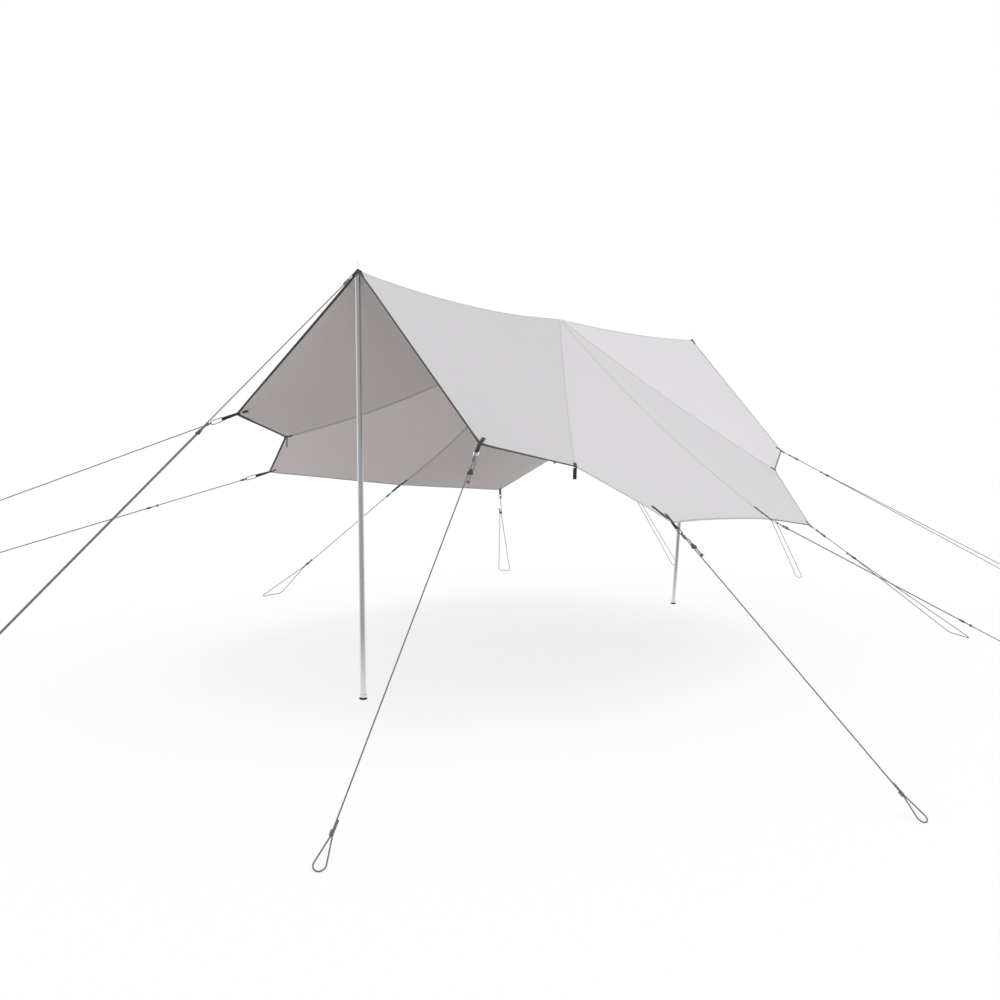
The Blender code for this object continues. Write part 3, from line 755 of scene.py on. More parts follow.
def start_piece():
    """A bmesh whose points carry lay: distances or directions that patterns follow."""
    work = bmesh.new()
    return work, work.verts.layers.float_vector.new("lay")


def frame_node(name):
    """The frame's own object of a node."""
    return bpy.data.objects[name]


def add_object(name, data):
    """An object of a mesh, a lamp or a camera, linked to the scene."""
    shown = bpy.data.objects.new(name, data)
    bpy.context.scene.collection.objects.link(shown)
    return shown


def add_mesh(name, work, looks):
    """An object of a bmesh's shape, which is let go."""
    mesh = bpy.data.meshes.new(name)
    work.to_mesh(mesh)
    work.free()
    for look in looks:
        mesh.materials.append(look)
    return add_object(name, mesh)


def finish_piece(name, work, looks, slot, sharp=40.0, body="tarp"):
    """The piece of a bmesh, riding on a body. Its place in its mesh, slot, is not used."""
    piece = add_mesh(name, work, looks)
    piece.data.shade_smooth()
    piece.data.set_sharp_from_angle(angle=math.radians(sharp))
    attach(piece, body)
    return piece


def thicken(piece, thickness, round_edges=0.0, underside=0):
    """Thickens a sheet to both sides.

    underside is how many slots the lower face's material comes after the upper one's.
    """
    shell = piece.modifiers.new("thickness", "SOLIDIFY")
    shell.thickness = thickness
    shell.offset = 0.0
    shell.use_even_offset = True
    shell.material_offset = underside
    if round_edges:
        edges = piece.modifiers.new("rounded edges", "BEVEL")
        edges.width = round_edges
        edges.segments = 2
        edges.limit_method = "ANGLE"


def ribbon(work, lay, rows, bare=ALL_BARE, paint=None):
    """A strip through rows of points, each row across the strip.

    The third number of lay is 0 on the bare stretch and 1 where the strip is sewn down. paint
    holds the material's number for each step.
    """
    last = len(rows) - 1
    columns = len(rows[0]) - 1
    made = bmesh.ops.create_grid(work, x_segments=last, y_segments=columns, size=0.5)["verts"]
    if paint:
        for face in {f for v in made for f in v.link_faces}:
            middle_x = face.calc_center_median().x
            face.material_index = paint[int((middle_x + 0.5) * last)]
    along = [0.0]
    for k in range(last):
        middle = columns // 2
        along.append(along[-1] + (rows[k + 1][middle] - rows[k][middle]).length)
    for vert in made:
        k = round((vert.co.x + 0.5) * last)
        j = round((vert.co.y + 0.5) * columns)
        row = rows[k]
        width = sum((row[i + 1] - row[i]).length for i in range(columns))
        across = sum((row[i + 1] - row[i]).length for i in range(j))
        vert.co = row[j]
        sewn = not bare[0] <= k / last <= bare[1]
        vert[lay] = (along[k], across - width / 2, float(sewn))


def strip_piece(name, strips, looks, slot, thickness, bare=ALL_BARE, paint=None, **finish):
    """A piece of thickened strips; bare and paint are as for ribbon, the rest for its finish."""
    work, lay = start_piece()
    for rows in strips:
        ribbon(work, lay, rows, bare, paint)
    piece = finish_piece(name, work, looks, slot, **finish)
    thicken(piece, thickness, WEBBING_ROUNDING if slot == "webbing" else 0.0)
    return piece


def frame_of(place, x_axis, y_axis, z_axis):
    """The matrix of a place and its three directions."""
    turn = Matrix((x_axis, y_axis, z_axis)).transposed().to_4x4()
    return Matrix.Translation(place) @ turn


def path_frames(path):
    """A frame at each point of a path, with Z along it, turned as little as can be."""
    count = len(path)
    frames = []
    side = None
    for k in range(count):
        ahead = (path[min(k + 1, count - 1)] - path[max(k - 1, 0)]).normalized()
        if side is None:
            guess = UP if abs(ahead.z) < 0.9 else Vector((1.0, 0.0, 0.0))
            side = ahead.cross(guess).normalized()
        side = (side - ahead * side.dot(ahead)).normalized()
        frames.append(frame_of(path[k], side, ahead.cross(side), ahead))
    return frames


def tube(work, lay, path, radius, closed=False):
    """A round tube drawn along a path: a circle extruded from point to point."""
    frames = path_frames(path)

    def lay_round(verts, k, travelled):
        """Writes lay for the points of one ring."""
        for vert in verts:
            local = frames[k].inverted() @ vert.co
            vert[lay] = (travelled, local.y / radius, local.x / radius)

    made = bmesh.ops.create_circle(work, segments=TUBE_SIDES, radius=radius, matrix=frames[0])
    first_edges = list(dict.fromkeys(e for v in made["verts"] for e in v.link_edges))
    lay_round(made["verts"], 0, 0.0)
    edges = first_edges
    travelled = 0.0
    for k in range(1, len(path)):
        travelled += (path[k] - path[k - 1]).length
        made = bmesh.ops.extrude_edge_only(work, edges=edges)["geom"]
        fresh = [g for g in made if isinstance(g, bmesh.types.BMVert)]
        edges = [g for g in made if isinstance(g, bmesh.types.BMEdge)]
        edges = [e for e in edges if all(v in fresh for v in e.verts)]
        ahead = frames[k] @ frames[k - 1].inverted()
        bmesh.ops.transform(work, matrix=ahead, verts=fresh)
        lay_round(fresh, k, travelled)
    if closed:
        bmesh.ops.bridge_loops(work, edges=first_edges + edges)
    else:
        bmesh.ops.holes_fill(work, edges=first_edges + edges)
    bmesh.ops.recalc_face_normals(work, faces=work.faces)


def arc(centre_x, centre_y, radius, first, last, steps):
    """Points along an arc, its angles in degrees."""
    turns = [math.radians(first + (last - first) * k / steps) for k in range(steps + 1)]
    return [(centre_x + radius * math.cos(t), centre_y + radius * math.sin(t)) for t in turns]


# The cloth's shape


def sagging_line(start, end, sag, at):
    """A point at a share of the way along a line that sags in its middle."""
    point = start.lerp(end, at)
    point.z -= 4.0 * sag * at * (1.0 - at)
    return point


def bowed_line(start, end, inward, at):
    """A point at a share of the way along a line whose middle is moved by `inward`."""
    return start.lerp(end, at) + inward * (4.0 * at * (1.0 - at))


class Panel:
    """A four-sided piece of cloth; its u and v run from the crown along its two seams."""

    def __init__(self, first, outer, second):
        self.names = (first, outer, second)
        self.crown = POINTS["crown"]
        self.first = POINTS[first]
        self.outer = POINTS[outer]
        self.second = POINTS[second]
        self.first_sag = SEAM_SAG[first]
        self.second_sag = SEAM_SAG[second]
        self.in_first = self.bow(first)
        self.in_second = self.bow(second)

    def bow(self, inner):
        """How the hem from the corner `inner` to the outer corner is drawn in at its middle."""
        amount = BOWED_HEMS.get((inner, self.names[1]), HEM_BOW)
        return (self.crown - POINTS[inner].lerp(self.outer, 0.5)).normalized() * amount

    def point(self, u, v):
        """The panel's surface, spanned smoothly between its two seams and two hems."""
        low = sagging_line(self.crown, self.first, self.first_sag, u)
        high = bowed_line(self.second, self.outer, self.in_second, u)
        left = sagging_line(self.crown, self.second, self.second_sag, v)
        right = bowed_line(self.first, self.outer, self.in_first, v)
        corners = self.crown.lerp(self.first, u).lerp(self.second.lerp(self.outer, u), v)
        return low.lerp(high, v) + left.lerp(right, u) - corners

    def step_u(self, v, distance):
        """The share of u that a distance in metres takes up at v."""
        near = (self.first - self.crown).length
        far = (self.outer - self.second).length
        return distance / (near + (far - near) * v)

    def step_v(self, u, distance):
        """The share of v that a distance in metres takes up at u."""
        near = (self.second - self.crown).length
        far = (self.outer - self.first).length
        return distance / (near + (far - near) * u)

    def inside(self, leg_u, leg_v):
        """The u and v of a place those distances in from the outer corner."""
        return 1.0 - self.step_u(1.0, leg_u), 1.0 - self.step_v(1.0, leg_v)

    def normal(self, u, v):
        """The direction straight up from the cloth."""
        small = 0.002
        along_u = self.point(u, v) - self.point(u - small, v)
        along_v = self.point(u, v) - self.point(u, v - small)
        normal = along_u.cross(along_v).normalized()
        return normal if normal.z > 0 else -normal


def make_panels():
    """The eight panels, keyed by their outer corner."""
    panels = {}
    for side in SIDES:
        ring = ["front_peak"] + [f"{side}_{k}" for k in "123m456"] + ["rear_peak"]
        for start in range(0, 8, 2):
            first, outer, second = ring[start : start + 3]
            panels[outer] = Panel(first, outer, second)
    return panels


PANELS = make_panels()


def pull_folds(place):
    """How far the folds that a pulled corner makes, and a slight unevenness, lift the cloth."""
    lift = UNEVEN_DEPTH * noise.noise(place * UNEVEN_SCALE)
    for name, corner in POINTS.items():
        away = Vector((place.x - corner.x, place.y - corner.y))
        distance = away.length
        if name == "crown" or name[-1] in "25" or distance > FOLD_REACH:
            continue
        inward = (POINTS["crown"] - corner).xy
        angle = math.atan2(away.cross(inward), away.dot(inward))
        growth = min(1.0, distance / FOLD_START)
        fade = math.exp(-distance / FOLD_FADE)
        lift += FOLD_DEPTH * growth * fade * math.cos(FOLDS_ROUND * angle + corner.x)
    return lift


def cloth_point(panel, u, v, out=0.0):
    """A point of the finished cloth, or one that far above it."""
    place = panel.point(u, v)
    place.z += pull_folds(place)
    return place + panel.normal(u, v) * out if out else place


def hem_stations(panel, widths, first_gap, last_gap):
    """The places, outer and inner, of the tape round one panel from its first corner on.

    `widths` are the tape's at both ends of each of the panel's two hems.
    """
    stations = []
    start = panel.step_v(1.0, first_gap)
    end = panel.step_u(1.0, last_gap)
    for k in range(HEM_STEPS + 1):
        width = widths[0] + (widths[1] - widths[0]) * k / HEM_STEPS
        v = start + (1.0 - start) * k / HEM_STEPS
        inner_v = min(v, 1.0 - panel.step_v(1.0, width))
        stations.append((panel, (1.0, v), (1.0 - panel.step_u(v, width), inner_v)))
    for k in range(1, HEM_STEPS + 1):
        width = widths[2] + (widths[3] - widths[2]) * k / HEM_STEPS
        u = 1.0 - (1.0 - end) * k / HEM_STEPS
        inner_u = min(u, 1.0 - panel.step_u(1.0, width))
        stations.append((panel, (u, 1.0), (inner_u, 1.0 - panel.step_v(u, width))))
    return stations


def guy_frame(name):
    """The matrix at a guyed corner: X down the line, Y level across it; and the line's length."""
    end_x, end_y, _, _ = GUYS[name]
    start = POINTS[name]
    end = Vector((end_x, end_y, CORD_RADIUS + CORD_FLOOR_GAP))
    down = (end - start).normalized()
    across = UP.cross(down).normalized()
    return frame_of(start, down, across, down.cross(across)), (end - start).length


def strap_frame(name):
    """The guy's frame, moved out by as much as its strap is longer, and twisted as its ring is."""
    longer = Matrix.Translation((LONGER_STRAPS.get(name, 0.0), 0.0, 0.0))
    twist = Matrix.Rotation(math.radians(RING_TWISTS.get(name, 0.0)), 4, "X")
    return guy_frame(name)[0] @ longer @ twist


def ring_end_frame(name):
    """The guy's frame, moved out by as much as its strap and its ring are longer."""
    longer = Matrix.Translation((LONGER_RINGS.get(name, 0.0), 0.0, 0.0))
    return strap_frame(name) @ longer


def loop_route(name, low):
    """The loop that lies on the ground, from its lower leg's bend to its upper one's."""
    _, length = guy_frame(name)
    width = GUYS[name][3]
    radius = min(LOOP_CORNER_RADIUS, width / 2)
    turn = length - radius
    closing = arc(turn, low + width - radius, radius, 0, 90, 8)
    loop = arc(turn, low + radius, radius, -90, 0, 8)
    return loop + (closing if width > 2 * LOOP_CORNER_RADIUS else closing[1:])


def guy_route(name):
    """A cord's route in its guy's frame, along the line and across it, from its hitch on."""
    _, _, slider_at, width = GUYS[name]
    longer = LONGER_STRAPS.get(name, 0.0) + LONGER_RINGS.get(name, 0.0)
    start = [(KNOT_END - LINE_IN_KNOT + longer, 0.0)]
    if name in SINGLE_LINES:
        neck = guy_frame(name)[1] - SHORT_LOOP
        leg = [(neck - TAIL_LENGTH, 2 * CORD_RADIUS + TAIL_GAP)]
        return start + [(neck, 0.0)] + loop_route(name, -width / 2) + [(neck, leg[0][1])] + leg
    split = slider_at + LEGS_PARALLEL
    bend = split - LEGS_PARALLEL / 2
    down = start + [(bend, 0.0), (split, 0.0)]
    back = [(split, HOLE_SPACING), (bend, HOLE_SPACING), (slider_at - TAIL_LENGTH, HOLE_SPACING)]
    return down + loop_route(name, (HOLE_SPACING - width) / 2) + back


# Canopy and hems


class TARP_OT_canopy(bpy.types.Operator):
    """Make the canopy: one sheet, cut from eight panels that meet at the crown"""

    bl_idname = "tarp.canopy"
    bl_label = "Canopy"

    def execute(self, context):
        settings = context.scene.tarp_cloth
        work, _ = start_piece()
        painted_shading = work.loops.layers.float_color.new("painted_shading")
        for outer, panel in PANELS.items():
            made = bmesh.ops.create_grid(
                work, x_segments=settings.steps, y_segments=settings.steps, size=0.5
            )
            for vert in made["verts"]:
                vert.co = cloth_point(panel, vert.co.x + 0.5, vert.co.y + 0.5)
                for loop in vert.link_loops:
                    # Each panel's painted light and shade, on top and under it
                    loop[painted_shading] = (*PAINTED_PANEL_SHADING[outer], 0.0, 1.0)
        bmesh.ops.remove_doubles(work, verts=work.verts, dist=0.0001)
        bmesh.ops.recalc_face_normals(work, faces=work.faces)
        if sum(face.normal.z for face in work.faces) < 0:
            bmesh.ops.reverse_faces(work, faces=work.faces)
        area = sum(face.calc_area() for face in work.faces)
        looks = [
            material("cloth top", cloth_look, settings.top_colour, False),
            material("cloth underside", cloth_look, settings.underside_colour, True),
        ]
        sheet = finish_piece("canopy", work, looks, "cloth", sharp=80.0)
        thicken(sheet, settings.thickness, underside=1)
        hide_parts(*[f"{outer}_panel" for outer in PANELS])
        return {"FINISHED"}


def seam_row(name, at, half, lift):
    """Places across a seam, at a share of its length, from one of its panels to the other."""
    sides = [p for p in PANELS.values() if name in (p.names[0], p.names[2])]
    row = []
    for panel, shares in zip(sides, ((1.0, 0.5, 0.0), (0.5, 1.0))):
        for share in shares:
            if panel.names[0] == name:
                place = (at, panel.step_v(at, half * share))
            else:
                place = (panel.step_u(at, half * share), at)
            row.append(cloth_point(panel, *place, lift))
    return row


class TARP_OT_seams(bpy.types.Operator):
    """Make the stitched seams on top of the cloth and the sealing tapes under it"""

    bl_idname = "tarp.seams"
    bl_label = "Seams"

    def execute(self, context):
        settings = context.scene.tarp_cloth
        stitched = shade(settings.top_colour, 0.93)
        sealed = shade(settings.underside_colour, 0.86)
        top = material("seam", tape_look, stitched, SEAM_THREAD, SEAM_STITCH)
        under = material("seam sealing", tape_look, sealed, shade(sealed, 0.8), SEALING_STITCH)
        for name in SEAM_SAG:
            self.add_seam(f"{name}_seam", name, SEAM_WIDTH, SEAM_LIFT, top)
            self.add_seam(f"{name}_seam_sealing", name, SEALING_WIDTH, -SEAM_LIFT, under)
        return {"FINISHED"}

    def add_seam(self, piece_name, name, width, out, look):
        """A tape along one seam, that far above the cloth."""
        length = (POINTS[name] - POINTS["crown"]).length
        rows = []
        for k in range(SEAM_STEPS + 1):
            at = (SEAM_START + (length - SEAM_START - SEAM_END) * k / SEAM_STEPS) / length
            rows.append(seam_row(name, at, width / 2, out))
        strip_piece(piece_name, [rows], [look], "cloth", SEAM_THICKNESS)


class TARP_OT_hems(bpy.types.Operator):
    """Make the tape that is folded round the cloth's edge, dark on some stretches"""

    bl_idname = "tarp.hems"
    bl_label = "Hem Tapes"

    def execute(self, context):
        settings = context.scene.tarp_cloth
        looks = [
            material("dark tape", tape_look, settings.tape_colour, DARK_THREAD, HEM_STITCH),
            material("pale tape", tape_look, settings.hem_colour, PALE_THREAD, HEM_STITCH),
            material("grey tape", tape_look, GREY_TAPE, shade(GREY_TAPE, 0.7), HEM_STITCH),
        ]
        for side in SIDES:
            for end, panels, gaps in (
                ("front", ("1", "3"), (PEAK_TAPE_GAP, MIDDLE_TAPE_GAP)),
                ("rear", ("4", "6"), (MIDDLE_TAPE_GAP, PEAK_TAPE_GAP)),
            ):
                first, second = [PANELS[f"{side}_{k}"] for k in panels]
                name = f"{side}_{end}_hem"
                widths = [width for stretch in HEM_STRETCHES[name] for width in stretch[1:]]
                stations = hem_stations(first, widths[:4], gaps[0], 0.0)[:-1]
                stations += hem_stations(second, widths[4:], 0.0, gaps[1])
                self.add_hem(name, stations, looks)
        return {"FINISHED"}

    def add_hem(self, name, stations, looks):
        """One length of tape from the cloth's top round its edge to its underside."""
        rows = []
        for panel, outer, inner in stations:
            top = []
            under = []
            for share in (1.0, 0.5, 0.08):
                u = outer[0] + (inner[0] - outer[0]) * share
                v = outer[1] + (inner[1] - outer[1]) * share
                top.append(cloth_point(panel, u, v, HEM_LIFT))
                under.append(cloth_point(panel, u, v, -HEM_LIFT))
            edge = cloth_point(panel, *outer)
            past = (edge - cloth_point(panel, *inner)).normalized()
            rows.append(top + [edge + past * HEM_LIFT] + under[::-1])
        order = [HEM_LOOKS.index(stretch[0]) for stretch in HEM_STRETCHES[name]]
        paint = [order[k // HEM_STEPS] for k in range(len(rows) - 1)]
        hem = strip_piece(
            f"{name}_tape", [rows], looks, "hem_tape", HEM_THICKNESS, paint=paint, sharp=60.0
        )
        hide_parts(name)


# Straps and rings


def corner_stations(name):
    """Places on the cloth from a corner's strap end to the corner, as panel, u and v."""
    panel = PANELS.get(name) or next(p for p in PANELS.values() if p.names[0] == name)
    reach = STRAP_IN[name[-1]]
    stations = []
    for k in range(STRAP_STEPS + 1):
        share = 1.0 - k / STRAP_STEPS
        if name in PANELS:
            leg = reach * share * math.sqrt(0.5)
            stations.append((panel, *panel.inside(leg, leg)))
        else:
            stations.append((panel, 1.0 - panel.step_u(0.0, reach * share), 0.0))
    return stations


def strap_row(centre, across, half):
    """A row of points across a strap."""
    return [centre + across * (half * side) for side in STRAP_ACROSS]


def strap_side(panel, u, v, back_u=BACK_STEP, back_v=BACK_STEP):
    """The direction on the cloth across a strap that comes from u and v less those steps back."""
    heading = cloth_point(panel, u, v) - cloth_point(panel, u - back_u, v - back_v)
    return panel.normal(u, v).cross(heading).normalized()


def round_bar(frame):
    """Places of webbing that passes round its ring's bar, in the guy's frame."""
    for k in range(7):
        turn = math.radians(90 - 30 * k)
        x = STRAP_OUT + BAR_LIFT * math.cos(turn)
        yield frame @ Vector((x, 0.0, BAR_LIFT * math.sin(turn)))


class TARP_OT_straps(bpy.types.Operator):
    """Make the webbing straps on the pulled corners and the metal rings that they hold"""

    bl_idname = "tarp.straps"
    bl_label = "Straps and Rings"

    def execute(self, context):
        settings = context.scene.tarp_rigging
        look = material("woven webbing", webbing_look, settings.webbing_colour)
        steel = material("ring steel", metal_look, RING_STEEL, 0.22, 1.0)
        dull = material("dull ring steel", metal_look, DULL_STEEL, 0.34, 1.0)
        half = settings.strap_width / 2
        thickness = settings.strap_thickness
        for name in GUYS:
            if name in PEAKS:
                rows = self.peak_rows(name, half, settings.peak_strap_width / 2)
            else:
                rows = self.corner_rows(name, half)
            strap = self.add_strap(f"{name}_webbing", rows, look, thickness)
            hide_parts(f"{name}_strap")
            self.add_ring(name, strap_frame(name), steel if name in BRIGHT_RINGS else dull)
            if name in PEAKS:
                self.add_strap(f"{name}_cap", self.cap_rows(name), look, thickness)
                self.add_eyelet(name, steel)
            if name[-1] == "3":
                rows = self.patch_rows(name, half)
                self.add_strap(f"{name}_reinforcement", rows, look, thickness)
            if name[-1] in "16":
                self.add_square(name, look, half, thickness)
        return {"FINISHED"}

    def add_strap(self, name, rows, look, thickness):
        """A strap through rows of points, sewn down at both its ends."""
        return strip_piece(name, [rows], [look], "webbing", thickness, STRAP_BARE)

    def add_square(self, name, look, half, thickness):
        """A square of webbing further in than the strap's end, on both faces of the cloth."""
        panel = PANELS[name]
        strips = []
        for lift in (STRAP_LIFT, -STRAP_LIFT):
            rows = []
            for k in range(SQUARE_STEPS + 1):
                leg = (SQUARE_FAR + (SQUARE_NEAR - SQUARE_FAR) * k / SQUARE_STEPS) * math.sqrt(0.5)
                place = (panel, *panel.inside(leg, leg))
                rows.append(strap_row(cloth_point(*place, lift), strap_side(*place), half))
            strips.append(rows)
        strip_piece(f"{name}_square", strips, [look], "webbing", thickness, ALL_SEWN)

    def corner_rows(self, name, half):
        """Webbing from the cloth's top round the ring's bar to the cloth's underside."""
        across = guy_frame(name)[0].col[1].xyz
        back_v = BACK_STEP if name in PANELS else 0.0
        top = []
        under = []
        for k, place in enumerate(corner_stations(name)):
            side = strap_side(*place, back_v=back_v)
            side = side if side.dot(across) > 0 else -side
            top.append(strap_row(cloth_point(*place, STRAP_LIFT), side, half))
            if k >= STRAP_STEPS * STRAP_UNDER:
                under.append(strap_row(cloth_point(*place, -STRAP_LIFT), side, half))
        return self.fold_round_bar(top, strap_frame(name), half, under[::-1])

    def fold_round_bar(self, top, frame, half, under):
        """Rows from a strap's upper ones round its ring's bar to its lower ones."""
        bar = [strap_row(place, frame.col[1].xyz, half) for place in round_bar(frame)]
        out = top + self.between(top[-1], bar[0]) + bar
        return out + self.between(bar[-1], under[0]) + under

    def between(self, first, second):
        """Rows between two others, at even steps."""
        shares = (0.2, 0.4, 0.6, 0.8)
        return [[a.lerp(b, share) for a, b in zip(first, second)] for share in shares]

    def peak_rows(self, name, half, peak_half):
        """Webbing folded over the ridge's end, with its sides down the slopes of the cloth."""
        frame = guy_frame(name)[0]
        slope = math.radians(RIDGE_SLOPE)
        corner = POINTS[name]
        inward = POINTS["crown"] - corner
        across = frame.col[1].xyz
        level = Vector((0.0, math.copysign(1.0, across.y), 0.0))
        rows = []
        for k in range(STRAP_STEPS + 3):
            away = STRAP_IN["peak"] * (1.0 - k / STRAP_STEPS)
            place = sagging_line(corner, POINTS["crown"], SEAM_SAG[name], away / inward.length)
            place.z += pull_folds(place) + PEAK_STRAP_LIFT
            row = []
            for side in STRAP_ACROSS:
                drop = UP * (peak_half * abs(side) * math.sin(slope))
                row.append(place + level * (peak_half * side * math.cos(slope)) - drop)
            rows.append(row)
        end = strap_row(frame @ Vector(PEAK_STRAP_END), across, half)
        return self.fold_round_bar(rows, frame, half, [end])

    def cap_rows(self, name):
        """Webbing across the ridge's end, down the hem on both sides of the pole's pin."""
        rows = []
        front = name == "front_peak"
        near, far = [PANELS[f"{side}_{'1' if front else '6'}"] for side in SIDES]
        for panel in (near, far):
            part = []
            for k in range(CAP_STEPS + 1):
                down = CAP_REACH * k / CAP_STEPS
                row = []
                for share in (0.0, 0.25, 0.5, 0.75, 1.0):
                    back = CAP_WIDTH * share - CAP_OVERHANG
                    if front:
                        place = (1.0 - panel.step_u(0.0, back), panel.step_v(1.0, down))
                    else:
                        place = (panel.step_u(1.0, down), 1.0 - panel.step_v(0.0, back))
                    row.append(cloth_point(panel, *place, STRAP_LIFT))
                part.append(row)
            rows += part[:0:-1] if panel is near else part
        return rows

    def patch_rows(self, name, half):
        """A second strap beside the first, sewn flat on the cloth."""
        panel = PANELS[name]
        rows = []
        for k in range(STRAP_STEPS + 1):
            away = PATCH_START - PATCH_LENGTH * k / STRAP_STEPS
            place = (panel, *panel.inside(away * PATCH_SLANT, away))
            side = strap_side(*place, back_u=BACK_STEP / 2)
            rows.append(strap_row(cloth_point(*place, STRAP_LIFT), side, half))
        return rows

    def add_ring(self, name, frame, steel):
        """An oblong ring with a straight bar in the strap and a round far end."""
        half = RING_WIDTH / 2
        bar = STRAP_OUT + RING_CORNER
        side = half - RING_CORNER
        far_centre = STRAP_OUT + RING_LENGTH + LONGER_RINGS.get(name, 0.0) - half
        outline = arc(bar, side, RING_CORNER, 180, 90, 6)
        outline += arc(far_centre, 0.0, half, 90, -90, 24)
        outline += arc(bar, -side, RING_CORNER, -90, -180, 6)
        work, lay = start_piece()
        path = [frame @ Vector((x, y, 0.0)) for x, y in outline]
        tube(work, lay, path, RING_WIRE, closed=True)
        finish_piece(f"{name}_ring", work, [steel], "webbing")

    def add_eyelet(self, name, steel):
        """A rolled eyelet round the pole's pin."""
        work, _ = start_piece()
        profile = arc(EYELET_RADIUS, 0.0, EYELET_ROLL, 0, 360, 12)[:-1]
        place = Matrix.Translation(POINTS[name] + UP * (PEAK_STRAP_LIFT + EYELET_LIFT))
        turned(work, profile, EYELET_STEPS, place, closed=True)
        finish_piece(f"{name}_eyelet", work, [steel], "pin")


# Guys


class TARP_OT_guys(bpy.types.Operator):
    """Make the guy lines with their eyes, hitches and stopper knots"""

    bl_idname = "tarp.guys"
    bl_label = "Guy Lines"

    def execute(self, context):
        look = material("braided cord", cord_look, context.scene.tarp_rigging.cord_colour)
        for name in GUYS:
            frame, _ = guy_frame(name)
            path = [frame @ Vector((x, y, 0.0)) for x, y in guy_route(name)]
            line = self.add_tube(f"{name}_line", path, look, closed=False)
            extras = self.add_knots(name, frame, look)
            hitch = ring_end_frame(name) @ Vector((KNOT_START, 0.0, 0.0))
            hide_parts(f"{name}_guy")
        return {"FINISHED"}

    def add_knots(self, name, frame, look):
        """The cord's eye in its ring, its hitch, and the knots at its tail and loop."""
        _, _, slider_at, _ = GUYS[name]
        hitch = self.hitch_path(ring_end_frame(name), KNOT_START, KNOT_END)
        paths = {"hitch": (hitch, False)}
        if name in SINGLE_LINES:
            neck = guy_frame(name)[1] - SHORT_LOOP
            tail = (slider_at + TAIL_LENGTH + STOPPER_PAST, HOLE_SPACING)
            knot = self.hitch_path(frame, neck - LOOP_KNOT_LENGTH, neck)
            paths["return"] = (self.return_path(frame, tail), False)
            paths["loop_knot"] = (knot, False)
        else:
            tail = (slider_at - TAIL_LENGTH + STOPPER_IN, HOLE_SPACING)
            paths["eye"] = (self.eye_path(ring_end_frame(name)), True)
        paths["stopper"] = (self.stopper_path(frame, tail), True)
        return [
            self.add_tube(f"{name}_line_{part}", path, look, closed=closed)
            for part, (path, closed) in paths.items()
        ]

    def add_tube(self, name, path, look, closed):
        """A piece of cord drawn along a path."""
        work, lay = start_piece()
        tube(work, lay, path, CORD_RADIUS, closed=closed)
        return finish_piece(name, work, [look], "cord", sharp=60.0)

    def ring_bend(self):
        """The cord's bend round the ring's wire: along the line, across it and up."""
        bend = arc(STRAP_OUT + RING_LENGTH, 0.0, EYE_RADIUS, 60, 300, 12)
        return [(x, 0.0, z) for x, z in bend]

    def eye_path(self, frame):
        """The loop from the hitch round the ring's wire."""
        inner = KNOT_END - EYE_IN_KNOT
        path = self.ring_bend() + [(inner, 0.0, -EYE_HALF), (inner, 0.0, EYE_HALF)]
        return [frame @ Vector(place) for place in path]

    def return_path(self, frame, tail):
        """The strand that comes back from the ring through the tensioner's second hole."""
        path = [(KNOT_START, 0.0, EYE_HALF)] + self.ring_bend() + [RETURN_BEND]
        path += [(RETURN_JOIN, HOLE_SPACING, 0.0), (*tail, 0.0)]
        return [frame @ Vector(place) for place in path]

    def hitch_path(self, frame, first, last):
        """Four turns of the cord round itself, drawn tight."""
        path = []
        for k in range(HITCH_STEPS + 1):
            turn = 2 * math.pi * HITCH_TURNS * k / HITCH_STEPS
            x = first + (last - first) * k / HITCH_STEPS
            place = (x, HITCH_RADIUS * math.cos(turn), HITCH_RADIUS * math.sin(turn))
            path.append(frame @ Vector(place))
        return path

    def stopper_path(self, frame, tail):
        """An overhand knot, as a trefoil round the cord's tail."""
        middle = Vector((*tail, 0.0))
        path = []
        for k in range(STOPPER_STEPS):
            turn = 2 * math.pi * k / STOPPER_STEPS
            out = STOPPER_RADIUS + STOPPER_SWING * math.cos(3 * turn)
            along = STOPPER_HALF * math.sin(3 * turn)
            place = Vector((along, out * math.cos(2 * turn), out * math.sin(2 * turn)))
            path.append(frame @ (middle + place))
        return path


